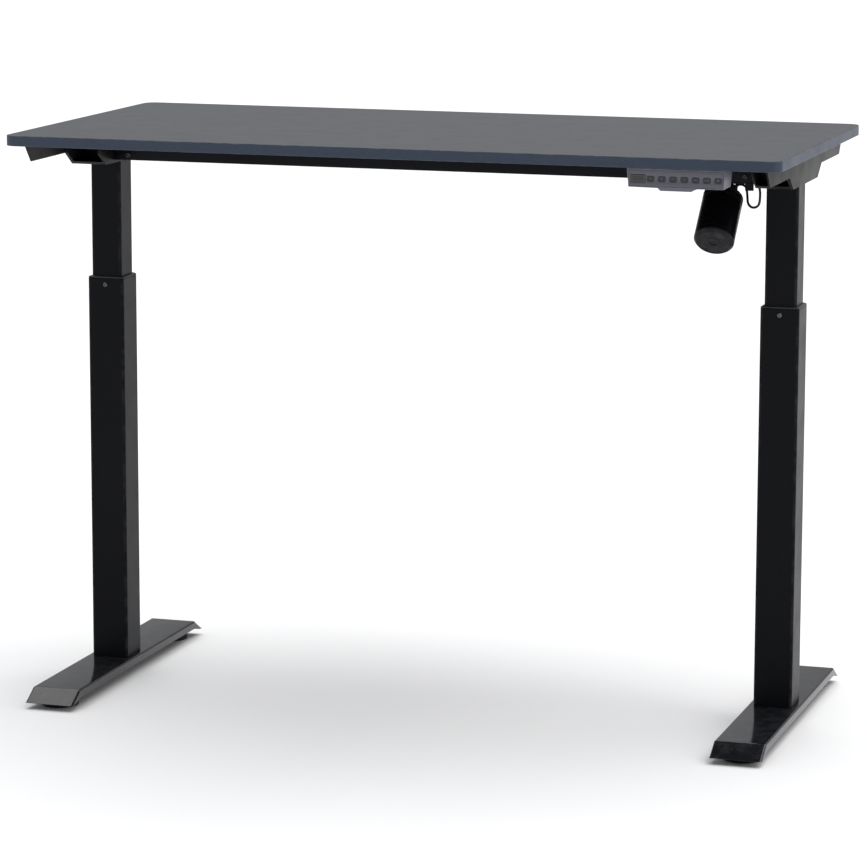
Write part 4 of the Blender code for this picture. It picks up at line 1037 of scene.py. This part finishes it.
@dataclass
class Desktop:
    """The board: one film on its face and edge, painted darker round the edge and near black below as painted
    shade.
    """

    corner: float = 0.020
    top_ease: float = 0.0013
    bottom_ease: float = 0.0007

    def build(self) -> Node:
        """Rings of the rounded rectangle from the underside, up the edge and over the top."""
        low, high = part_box("desktop")
        size, centre = high - low, middle("desktop")
        outline = Outline.rectangle(size.x, size.y, self.corner, (centre.x, centre.y), steps=18, shoulder=0.05)
        outline = Outline(outline.points, outline.normals, np.zeros_like(outline.edge))
        skin = slab(outline, low.z, high.z, low_rim=self.bottom_ease, high_rim=self.top_ease, steps=5)

        def pick(normals: np.ndarray) -> np.ndarray:
            """Film above; round the side the same film darkened as painted shade, and below near black as painted
            shade.
            """
            # Colour by facing direction: painted shade on the edge and the underside.
            return np.where(normals[:, 2] > 0.75, 0, np.where(normals[:, 2] < -0.75, 2, 1))

        return build("desk_board", [skin], [FILM, EDGE_FILM_PAINTED_SHADE, UNDERSIDE], "top", ("desktop",), pick)


@dataclass
class UnderFrame:
    """The steel under the board: brackets, leg heads and rails, with the screws that join them."""

    screw_radius: float = 0.0046
    screw_height: float = 0.0022
    socket: float = 0.0030
    bracket_screws: tuple[float, ...] = (-0.245, -0.155, 0.155, 0.245)
    rail_screws: tuple[float, ...] = (0.494, 0.508)
    rail_screw_inset: float = 0.0085
    bracket_screw_inset: float = 0.011
    bracket_steel: float = 0.0025

    def head(self, place: Placement) -> Skin:
        """One button head of the frame's screws."""
        return socket_head(self.screw_radius, self.screw_height, self.socket, place)

    def build(self) -> None:
        """Make the steel and its screws."""
        for side in Side:
            refined(f"angle_{side.word}", f"side_bracket_{side.word}", BRACKET_COAT, "top", 0.0006)
            refined(f"channel_{side.word}", f"leg_head_{side.word}", BRACKET_COAT, "top", 0.0005)
            low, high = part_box(f"side_bracket_{side.word}")
            inner = low.x if side is Side.RIGHT else high.x
            x = inner + side.value * self.bracket_screw_inset
            flange = high.z - self.bracket_steel
            skins = [self.head(DOWNWARD.at(x, y, flange)) for y in self.bracket_screws]
            build(f"angle_screws_{side.word}", skins, [SCREW_BLACK], "top")
        for end in End:
            refined(f"cross_channel_{end.word}", f"{end.word}_rail", COAT, "top", 0.0005)
            low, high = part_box(f"{end.word}_rail")
            face = low.y if end is End.FRONT else high.y
            turn = TO_USER if end is End.FRONT else TO_BACK
            heights = (low.z + self.rail_screw_inset, high.z - self.rail_screw_inset)
            spots = [(side.value * x, face, z) for side in Side for x, z in zip(self.rail_screws, heights)]
            skins = [self.head(turn.at(*spot)) for spot in spots]
            build(f"cross_channel_screws_{end.word}", skins, [SCREW_BLACK], "top")


# ---------------------------------------------------------------- columns


@dataclass
class Column:
    """One telescopic leg: two square tubes with a chamfered guide collar between them."""

    side: Side
    outer: float = 0.060
    inner: float = 0.050
    outer_wall: float = 0.002
    inner_wall: float = 0.0018
    corner: float = 0.004
    rim: float = 0.0005
    collar_face: float = 0.0011
    collar_run: float = 0.0046

    def build(self) -> None:
        """Make the tubes, the collar and the collar's screw."""
        word = self.side.word
        base = f"{word}_base"
        x = middle(f"lower_column_{word}").x
        here = Placement((x, 0.0, 0.0))
        tubes = (
            ("outer", "lower", self.outer, self.outer_wall, base),
            ("inner", "upper", self.inner, self.inner_wall, "top"),
        )
        for name, stage, width, wall, body in tubes:
            node = f"{stage}_column_{word}"
            low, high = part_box(node)
            outline = Outline.rectangle(width, width, self.corner, steps=7)
            skin = tube(outline, wall, low.z, high.z, self.rim, here)
            build(f"{name}_tube_{word}", [skin], [COAT], body, (node,))
        self.collar(x, base)
        node = f"collar_screw_{word}"
        place = TO_USER.at(x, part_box(node)[0].y + PLATE_SCREW[1], middle(node).z)
        build(f"guide_screw_{word}", [socket_head(*PLATE_SCREW, place)], [DULL_ZINC], base, (node,))

    def collar(self, x: float, base: str) -> Node:
        """The collar: up its face, in over its slope, down its bore and round its skirt."""
        word = self.side.word
        low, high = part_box(f"column_collar_{word}")
        seat = high.z - 0.003
        bore = (self.outer - self.inner) / 2 - 0.0004
        skirt = self.outer_wall + GAP
        outline = Outline.rectangle(self.outer, self.outer, self.corner, steps=7)
        rows = np.array(
            [
                (0.0, seat + 0.0002, 0.3),
                (0.0, seat + self.collar_face, 0.0),
                (0.0002, seat + self.collar_face + 0.0005, 1.0),
                (self.collar_run - 0.0014, high.z - 0.0003, 0.0),
                (self.collar_run - 0.0004, high.z, 1.0),
                (bore, high.z - 0.0004, 0.0),
                (bore, low.z, 0.0),
                (skirt, low.z, 0.0),
                (skirt, seat, 0.0),
            ]
        )
        keep = self.corner - 0.0002
        flat = outline.points - np.minimum(rows[:, 0], keep)[:, None, None] * outline.normals
        extra = np.maximum(rows[:, 0] - keep, 0)[:, None, None]
        flat = flat - extra * np.sign(outline.points)
        edge = np.maximum(rows[:, 2][:, None], 0.6 * outline.edge[None, :])
        skin = Skin(lifted(flat, rows[:, 1]) + np.array([x, 0.0, 0.0]), edge, round_v=True)
        return build(f"guide_collar_{word}", [skin], [COLLAR_PLASTIC], base, (f"column_collar_{word}",))


# ---------------------------------------------------------------- feet and pads


@dataclass
class Foot:
    """A foot folded from sheet: a long flat top, side walls, and a flap down at each end."""

    side: Side
    width: float = 0.079
    steel: float = 0.0025
    flat: float = 0.252
    tip: float = 0.285
    wall: float = 0.0125
    bend: float = 0.0032
    fold: float = 0.005
    flap_bottom: float = 0.0095
    pad_spacing: float = 0.478
    boss: float = 0.009
    boss_foot: float = 0.0135
    thread_pitch: float = 0.00125
    pad_ribs: int = 8

    def section(self, top: np.ndarray, wall_foot: np.ndarray, floor: float) -> np.ndarray:
        """Cross sections of the folded sheet, one row for each station.

        The outer line runs up one wall, round a bend of radius b, across the top and down the other
        wall; the inner line runs back a sheet's thickness inside it. A bend's point at angle t is
        b * (1 - cos t) in from the wall and b * (1 - sin t) below the top.

        Args:
            top: Height of the top at each station.
            wall_foot: Height of the walls' lower edge there.
            floor: No point lies below this.

        Returns:
            A (stations, points, 2) array of x and height.
        """
        half, turn = self.width / 2, np.linspace(0, math.pi / 2, 7)
        across = half - self.bend * (1 - np.cos(turn))
        below = self.bend * (1 - np.sin(turn))
        inner_bend = self.bend - self.steel
        inner_across = half - self.steel - inner_bend * (1 - np.cos(turn))
        inner_below = self.steel + inner_bend * (1 - np.sin(turn))
        near = np.concatenate([[half], across])
        near_drop = np.concatenate([[self.bend + SHOULDER], below])
        back = np.concatenate([[half - self.steel], inner_across])
        back_drop = np.concatenate([[self.bend + SHOULDER], inner_below])
        inside = half - self.steel
        x = np.concatenate([[-half], -near, near[::-1], [half], [inside], back, -back[::-1], [-inside]])
        foot = np.concatenate([[1], 0 * near, 0 * near, [1], [1], 0 * back, 0 * back, [1]]).astype(bool)
        drop = np.concatenate([[0], near_drop, near_drop[::-1], [0], [0], back_drop, back_drop[::-1], [0]])
        height = np.where(foot, wall_foot[:, None], top[:, None] - drop)
        height = np.maximum(height, np.minimum(wall_foot, top - self.steel)[:, None])
        height = np.minimum(np.maximum(height, floor), top[:, None])
        return np.stack([np.broadcast_to(x, height.shape), height], axis=-1)

    def build(self) -> None:
        """Make the foot and its two pads."""
        word = self.side.word
        node = f"foot_{word}"
        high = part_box(node)[1]
        x = middle(node).x
        fold = eased([(0.0, high.z), (self.flat, high.z), (self.tip, self.flap_bottom + 0.0004)], self.fold, 6)
        stations = np.vstack([[0.1, high.z, 0.0], [0.24, high.z, 0.0], fold[1:]])
        extra = np.array([0.258, 0.264, 0.270, 0.274, 0.278, 0.282])
        run = np.sort(np.concatenate([stations[:, 0], extra]))
        top = np.interp(run, stations[:, 0], stations[:, 1])
        places = [self.flat - 0.004, self.tip - 0.011, self.tip]
        foot_line = np.interp(run, places, [high.z - self.wall, self.flap_bottom + 0.0006, self.flap_bottom])
        y = np.concatenate([-run[::-1], run])
        top, foot_line = (np.concatenate([line[::-1], line]) for line in (top, foot_line))
        sections = self.section(top, foot_line, self.flap_bottom)
        along = np.broadcast_to(y[:, None], sections.shape[:2])
        points = np.stack([x + sections[..., 0], along, sections[..., 1]], axis=-1)
        columns = points.shape[1]
        edge = np.zeros(points.shape[:2])
        edge[:, 2:9] = 1.0
        edge[:, columns // 2 - 9 : columns // 2 - 2] = 1.0
        edge[(np.abs(y) > self.flat - 0.001) & (np.abs(y) < self.flat + 0.003)] = 1.0
        skins = [Skin(points, edge, caps=(True, True))]
        ceiling = high.z - self.steel
        boss = [(0.0, self.boss_foot), (self.boss, self.boss_foot), (self.boss, ceiling), (0.0, ceiling)]
        bosses = eased(boss, 0.0008)
        skins += spread([turned(bosses, UPWARD, 40)], [(x, end.value * self.pad_spacing / 2, 0.0) for end in End])
        build(f"folded_foot_{word}", skins, [FOOT_COAT], f"{word}_base", (node,))
        for end in End:
            self.pad(end, x)

    def pad(self, end: End, x: float) -> Node:
        """A round rubber pad with ribs round its flank, under a zinc nut and threaded stud."""
        node = f"levelling_pad_{self.side.word}_{end.word}"
        low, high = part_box(node)
        radius = (high.x - low.x) / 2
        spot = (x, end.value * self.pad_spacing / 2, 0.0)
        ribs = [(radius - 0.0002 - 0.0006 * (k % 2), 0.0012 + 0.0006 * k) for k in range(self.pad_ribs)]
        line = [(0.0, 0.0008), (0.6 * radius, 0.0008), (0.64 * radius, 0.0), (radius - 0.001, 0.0), *ribs]
        line += [(radius - 0.0010, 0.0066), (0.85 * radius, 0.0083), (0.40 * radius, 0.0085), (0.0, 0.0085)]
        skins = [turned(eased(line, 0.0003, 2), UPWARD.at(*spot), 96)]
        nut = slab(Outline.polygon(6, 0.0130, 0.0006), 0.0086, 0.0130, UPWARD.at(*spot), 0.0006, 0.0006, finish=1)
        top = high.z
        threads = np.arange(0.0130, top - 0.001, self.thread_pitch / 2)
        flank = [(0.0040 - 0.0005 * (k % 2), z) for k, z in enumerate(threads)]
        thread = [(0.0, 0.0128), *flank, (0.0036, top), (0.0, top)]
        skins += [nut, turned(eased(thread, 0.0001, 1), UPWARD.at(*spot), 40, finish=1)]
        return build(f"foot_pad_{self.side.word}_{end.word}", skins, [RUBBER, ZINC], f"{node}_screw", (node,))


# ---------------------------------------------------------------- motor and its fittings


@dataclass
class Motor:
    """The tube motor under its worm gearbox, tilted towards the user."""

    tilt: float = 45.0
    centres: float = 0.0163
    shaft_drop: float = 0.022
    radius: float = 0.0305
    can_top: float = 0.0548
    can_bottom: float = 0.131
    reach: float = 0.139
    barrel: float = 0.0165
    barrel_reach: float = 0.0545
    flange: float = 0.0040
    flange_circle: float = 0.0225
    bell_circle: float = 0.0172
    rib: tuple[float, float] = (0.0016, 0.030)
    rib_middle: float = 0.033
    rib_rise: float = 0.0024

    def axis(self) -> Placement:
        """The worm's middle, with the third axis down along the motor."""
        lean = math.radians(self.tilt)
        down = (0.0, -math.sin(lean), -math.cos(lean))
        across = (0.0, math.cos(lean), -math.sin(lean))
        z = DESK_UNDERSIDE - self.shaft_drop
        worm = (MOTOR_X, self.centres * math.cos(lean), z - self.centres * math.sin(lean))
        return Placement(worm, ((1.0, 0.0, 0.0), across, down))

    def build(self) -> None:
        """Make the can, the end cap, the gearbox's dressing, and what hangs and feeds them."""
        self.can()
        self.cap()
        self.gearbox()
        refined("motor_plate", "motor_bracket", COAT, "top", 0.0004)
        spot = middle("motor_screw")
        place = DOWNWARD.at(spot.x, spot.y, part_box("motor_screw")[0].z + PLATE_SCREW[1])
        build("motor_plate_screw", [socket_head(*PLATE_SCREW, place)], [ZINC], "top", ("motor_screw",))
        self.gland()
        self.plug()

    def can(self) -> Node:
        """A drawn can with a rolled bead near each end."""
        r, top, bottom = self.radius, self.can_top, self.can_bottom
        line = [
            (0.0, top),
            (r - 0.0022, top),
            (r, top + 0.0022),
            (r, top + 0.0075),
            (r - 0.0007, top + 0.0082),
            (r - 0.0007, top + 0.0092),
            (r, top + 0.0099),
            (r, bottom - 0.0060),
            (r - 0.0005, bottom - 0.0054),
            (r - 0.0005, bottom - 0.0046),
            (r, bottom - 0.0040),
            (r, bottom),
            (0.0, bottom),
        ]
        radii = [0.0018, 0.0018, 0.0004, 0.0003, 0.0003, 0.0004, 0.0004, 0.0003, 0.0003, 0.0004, 0.0003]
        rows = eased(line, radii, 4)
        rows[:, 2] *= 0.6
        return build("motor_tube", [turned(rows, self.axis(), 128)], [MOTOR_ENAMEL], "top", ("motor_can",))

    def cap(self) -> Node:
        """The end bell: a wide round edge, a shallow dish, a bearing boss and three screws."""
        r, top, end = self.radius, self.can_bottom + GAP, self.reach
        line = [
            (0.0, top),
            (r - 0.0004, top),
            (r, top + 0.0005),
            (r, end - 0.0046),
            (r - 0.0040, end - 0.0002),
            (r - 0.0062, end - 0.0002),
            (r - 0.0070, end - 0.0012),
            (0.0115, end - 0.0014),
            (0.0106, end - 0.0004),
            (0.0070, end - 0.0002),
            (0.0062, end - 0.0016),
            (0.0, end - 0.0016),
        ]
        radii = [0.0003, 0.0003, 0.0036, 0.0030, 0.0005, 0.0006, 0.0005, 0.0005, 0.0005, 0.0005]
        axis = self.axis()
        skins = [turned(eased(line, radii, 5), axis, 128)]
        seats = bolt_circle(self.bell_circle, (30, 150, 270), end - 0.0014, axis)
        skins += [socket_head(*BELL_SCREW, axis.at(*seat), 1) for seat in seats]
        return build("motor_bell", skins, [CAP_PLASTIC, SCREW_BLACK], "top", ("motor_end_cap",))

    def gearbox(self) -> None:
        """The gearbox casting, with ribs along its barrel and a ring of flange screws."""
        refined("motor_gear_case", "motor_gearbox", CAP_PLASTIC, "top", 0.0004, 34.0)
        axis = self.axis()
        skins = []
        rib = Outline.rectangle(*self.rib, 0.0005, steps=3)
        down = np.asarray(axis.axes[2])
        for turn in (20, 90, 160, 200, 340):
            lean = math.radians(turn)
            out = np.asarray(axis(np.array([math.cos(lean), math.sin(lean), 0.0]))) - np.asarray(axis.origin)
            spot = axis(np.array([0.0, 0.0, self.rib_middle])) + out * (self.barrel - 0.0006)
            place = Placement(tuple(spot), (tuple(np.cross(down, out)), tuple(down), tuple(out)))
            skins.append(slab(rib, 0.0, self.rib_rise, place, 0.0002, 0.0006))
        seats = bolt_circle(self.flange_circle, (45, 135, 225, 315), self.barrel_reach - self.flange, axis)
        up = (axis.axes[0], axis.axes[1], tuple(-np.asarray(axis.axes[2])))
        skins += [socket_head(*FLANGE_SCREW, Placement(seat, up), 1) for seat in seats]
        build("gear_case_ribs", skins, [CAP_PLASTIC, ZINC], "top")

    def gland(self) -> Node:
        """A tapered strain relief with rings cut round it."""
        low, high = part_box("lead_gland")
        length, radius = high.x - low.x, (high.z - low.z) / 2
        rings = [
            (radius * (0.98 - 0.30 * k / 7) - 0.0005 * (k % 2), 0.0006 + (length - 0.0012) * k / 7)
            for k in range(8)
        ]
        line = [(0.0, 0.0), (radius, 0.0), *rings, (0.0021, length), (0.0, length)]
        place = RIGHTWARD.at(low.x, middle("lead_gland").y, middle("lead_gland").z)
        skin = turned(eased(line, 0.0002, 2), place, 48)
        return build("strain_relief", [skin], [BLACK_PLASTIC], "top", ("lead_gland",))

    def plug(self) -> Node:
        """A moulded plug with a stepped nose and three grip ridges."""
        low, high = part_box("lead_plug")
        size, centre = high - low, middle("lead_plug")
        place = RIGHTWARD.at(low.x, centre.y, centre.z)
        nose = Outline.rectangle(size.y - 0.0012, size.z - 0.0012, 0.0008, steps=3)
        body = Outline.rectangle(size.y, size.z, 0.0016, steps=4)
        skins = [slab(nose, 0.0, 0.006, place, 0.0002, 0.0002), slab(body, 0.0055, 0.0185, place, 0.0005, 0.0010)]
        ridge = Outline.rectangle(size.y + 0.0007, size.z + 0.0007, 0.0018, steps=4)
        skins += [slab(ridge, 0.0085 + k * 0.0028, 0.0097 + k * 0.0028, place, 0.0003, 0.0003) for k in range(3)]
        tail = eased([(0.0, 0.018), (0.0040, 0.018), (0.0026, size.x), (0.0, size.x)], 0.0006, 3)
        skins.append(turned(tail, place, 32))
        return build("lead_connector", skins, [BLACK_PLASTIC], "top", ("lead_plug",))


@dataclass
class CrossDrive:
    """The hexagonal shaft, with its burrs rounded."""

    flats: float = 0.008
    corner: float = 0.0005

    def build(self) -> Node:
        """A hexagon carried across the desk, chamfered at both ends."""
        low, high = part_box("drive_shaft")
        centre = middle("drive_shaft")
        place = RIGHTWARD.at(low.x, centre.y, centre.z)
        skin = slab(Outline.polygon(6, self.flats, self.corner), 0.0, high.x - low.x, place, 0.0008, 0.0008)
        return build("hexagon_shaft", [skin], [ZINC], "drive", ("drive_shaft",))


# ---------------------------------------------------------------- control box


@dataclass
class ControlBox:
    """The power and control box behind the back rail."""

    vent: tuple[float, float] = (0.0018, 0.016)
    vents: int = 14
    vent_spacing: float = 0.0046
    ear_screw: float = 0.0046
    ear_inset: tuple[float, float] = (0.007, 0.014)
    panel_margin: float = 0.020

    def build(self) -> None:
        """Make the box, its lid, vents, inlet and screws."""
        refined("supply_box", "control_box", BLACK_PLASTIC, "top", 0.0008)
        refined("supply_lid", "control_box_cover", BLACK_PLASTIC, "top", 0.0006)
        refined("supply_inlet", "power_inlet", BLACK_PLASTIC, "top", 0.0003)
        low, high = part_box("control_box")
        slot = Outline.rectangle(*self.vent, 0.0008, steps=4)
        first = (low.x + high.x) / 2 - (self.vents - 1) * self.vent_spacing / 2
        spots = [(first + k * self.vent_spacing, high.y, (low.z + high.z) / 2) for k in range(self.vents)]
        skins = [slab(slot, -0.0002, 0.0007, TO_BACK.at(*spot), 0.0001, 0.0004) for spot in spots]
        width, height = high.x - low.x - self.panel_margin, high.y - low.y - self.panel_margin
        panel = Outline.rectangle(width, height, 0.004, steps=5)
        under = DOWNWARD.at((low.x + high.x) / 2, (low.y + high.y) / 2, low.z)
        skins.append(slab(panel, -0.0002, 0.0006, under, 0.0001, 0.0004))
        build("supply_ribs", skins, [BLACK_PLASTIC], "top")
        lid_low, lid_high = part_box("control_box_cover")
        across, along = self.ear_inset
        columns, rows = (lid_low.x + across, lid_high.x - across), (lid_low.y + along, lid_high.y - along)
        ears = [(x, y) for x in columns for y in rows]
        skins = [socket_head(self.ear_screw, 0.0022, 0.003, DOWNWARD.at(x, y, lid_low.z)) for x, y in ears]
        build("supply_screws", skins, [ZINC], "top")
        self.pins()

    def pins(self) -> Node:
        """Three blades in the inlet's recess."""
        low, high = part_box("power_inlet")
        centre = middle("power_inlet")
        blade = Outline.rectangle(0.0018, 0.0040, 0.0004, steps=3)
        spots = [(-0.0060, -0.0016), (0.0060, -0.0016), (0.0, 0.0030)]
        skins = [
            slab(blade, 0.0, 0.0085, LEFTWARD.at(high.x - 0.0032, centre.y + y, centre.z + z), 0.0001, 0.0005)
            for y, z in spots
        ]
        return build("inlet_blades", skins, [ZINC], "top")


# ---------------------------------------------------------------- handset


class KeyMark(Enum):
    """The keys in order from the display. A number is how many dots the key's mark has."""

    UP = "up"
    DOWN = "down"
    ONE = 1
    TWO = 2
    THREE = 3
    FOUR = 4
    MEMORY = "memory"

    @property
    def node(self) -> str:
        """The key's CAD node."""
        return f"key_{self.name.lower()}"


@dataclass
class Handset:
    """The control panel under the front edge: a display and seven keys."""

    key_corner: float = 0.0020
    mark_rise: float = 0.00006
    digits: int = 3
    segment: tuple[float, float] = (0.0028, 0.0006)
    digit_pitch: float = 0.0052
    dot: float = 0.00048
    dot_pitch: float = 0.0016
    dish: float = 0.0003

    def build(self) -> None:
        """Make the housing, the face, the display and the keys."""
        refined("panel_housing", "handset_housing", HANDSET_PLASTIC, "top", 0.0006, 20.0)
        refined("panel_face", "handset_face", FACE_PLASTIC, "top", 0.00035, 40.0)
        self.display()
        for mark in KeyMark:
            self.key(mark)

    def display(self) -> None:
        """Dark glass with unlit segments behind its surface."""
        low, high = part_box("handset_display")
        size, centre = high - low, middle("handset_display")
        place = TO_USER.at(centre.x, high.y, centre.z)
        pane = Outline.rectangle(size.x, size.z, 0.001, steps=4)
        skin = slab(pane, 0.0, size.y, place, 0.0001, 0.0002)
        build("display_pane", [skin], [GLASS], "top", ("handset_display",))
        length, thick = self.segment
        tip, half = length / 2, thick / 2
        below = [(-tip, 0), (-tip + half, -half), (tip - half, -half)]
        corners = [*below, (tip, 0), (tip - half, half), (-tip + half, half)]
        across = Outline.rounded(corners, 0.00008, 2, 0.00005)
        along = Outline(across.points[:, ::-1] * (1, -1), across.normals[:, ::-1] * (1, -1), across.edge)
        step = length + 0.0002
        skins = []
        for digit in range(self.digits):
            x = centre.x + (digit - (self.digits - 1) / 2) * self.digit_pitch
            front = TO_USER.at(x, low.y, centre.z)
            level = [(0, 0, z) for z in (-step, 0, step)]
            upright = [(dx * step / 2, 0, dz * step / 2) for dx in (-1, 1) for dz in (-1, 1)]
            for shape, shifts in ((across, level), (along, upright)):
                skins += spread([slab(shape, -0.00002, 0.00003, front, 0.00001, 0.00001, steps=1)], shifts)
        build("display_digits", skins, [SEGMENTS], "top")

    def key(self, mark: KeyMark) -> Node:
        """A key cap with a rounded rim and a shallow finger dish, and its mark.

        Inside its rim the cap's depth goes down as the square of the way in to the middle.
        """
        low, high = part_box(mark.node)
        size, centre = high - low, middle(mark.node)
        outline = Outline.rectangle(size.x, size.z, self.key_corner, steps=5)
        place = TO_USER.at(centre.x, high.y, centre.z)
        rows = rim_rows(0.0, size.y, 0.0002, 0.0006, 4)[:-1]
        flat = outline.inset(np.minimum(rows[:, 0], self.key_corner * 0.9))
        share = np.array([0.80, 0.60, 0.40, 0.20])[:, None, None]
        last = flat[-1] * 0.94
        dish = share * last[None]
        heights = np.concatenate([rows[:, 1], [size.y], size.y - self.dish * (1 - share[:, 0, 0] ** 2)])
        rings = np.concatenate([flat, last[None], dish])
        points = lifted(rings, heights)
        edges = np.concatenate([rows[:, 2], np.zeros(5)])
        skins = [Skin(place(points), np.broadcast_to(edges[:, None], points.shape[:2]), caps=(True, True))]
        front = place.at(centre.x, low.y + 0.00022, centre.z)
        skins += self.mark(mark, front)
        return build(f"cap_{mark.name.lower()}", skins, [KEY_CAP, KEY_MARK], f"{mark.node}_cap", (mark.node,))

    def mark(self, mark: KeyMark, place: Placement) -> list[Skin]:
        """A plain sign on a key: a wedge up or down, one to four dots, or a ring."""
        rise = self.mark_rise + 0.0001
        if mark in (KeyMark.UP, KeyMark.DOWN):
            way = 1 if mark is KeyMark.UP else -1
            corners = [(-0.0019, -0.0010 * way), (0.0019, -0.0010 * way), (0.0, 0.0014 * way)][::way]
            return [slab(Outline.rounded(corners, 0.0002, 2, 0.0001), 0.0, rise, place, 0.00002, 0.00002, 1, 1)]
        if mark is KeyMark.MEMORY:
            rows = np.array([(0.0014, 0.0, 0.0), (0.0014, rise, 0.0), (0.0009, rise, 0.0), (0.0009, 0.0, 0.0)])
            return [turned(rows, place, 32, 1, closed=True)]
        disc = np.array([(0.0, 0.0, 0.0), (self.dot, 0.0, 0.0), (self.dot, rise, 0.0), (0.0, rise, 0.0)])
        dot = turned(disc, place, 20, 1)
        spots = [((k - (mark.value - 1) / 2) * self.dot_pitch, 0.0, 0.0) for k in range(mark.value)]
        return spread([dot], spots)


# ---------------------------------------------------------------- nodes that keep their own shape


@dataclass(frozen=True)
class InnerWorks:
    """The gears, screws, nuts and shoes inside, which keep their CAD shape and get a real finish."""

    finishes: tuple[tuple[str, Finish], ...] = (
        ("slide_shoe", ACETAL),
        ("spindle_nut", ACETAL),
        ("spindle_bearing", BARE_STEEL),
        ("nut_tube", BARE_STEEL),
        ("lift_spindle", BARE_STEEL),
        ("spindle_gear", BARE_STEEL),
        ("shaft_gear", BARE_STEEL),
        ("worm_wheel", BRONZE),
        ("head_gearbox", BLACK_PLASTIC),
    )

    def build(self) -> None:
        """Put each node's finish in its material slots."""
        for name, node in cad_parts.items():
            for start, finish in self.finishes:
                if name.startswith(start):
                    node.data.materials.clear()
                    node.data.materials.append(finish.material())
                    log.info("%s keeps its shape: %s", name, finish.name)


@dataclass
class StandingDesk:
    """The whole desk, in the order that it is put together."""

    view: Viewpoint = field(default_factory=Viewpoint)
    studio: Studio = field(default_factory=Studio)

    def build(self) -> None:
        """Make the camera and the lead first, then every sub-assembly."""
        self.view.build()
        MotorLead().build()
        self.studio.build()
        Desktop().build()
        UnderFrame().build()
        for side in Side:
            Column(side).build()
            Foot(side).build()
        CrossDrive().build()
        Motor().build()
        ControlBox().build()
        Handset().build()
        InnerWorks().build()


def main() -> None:
    """Build the desk."""
    StandingDesk().build()
    bpy.context.view_layer.update()


if __name__ == "__main__":
    main()
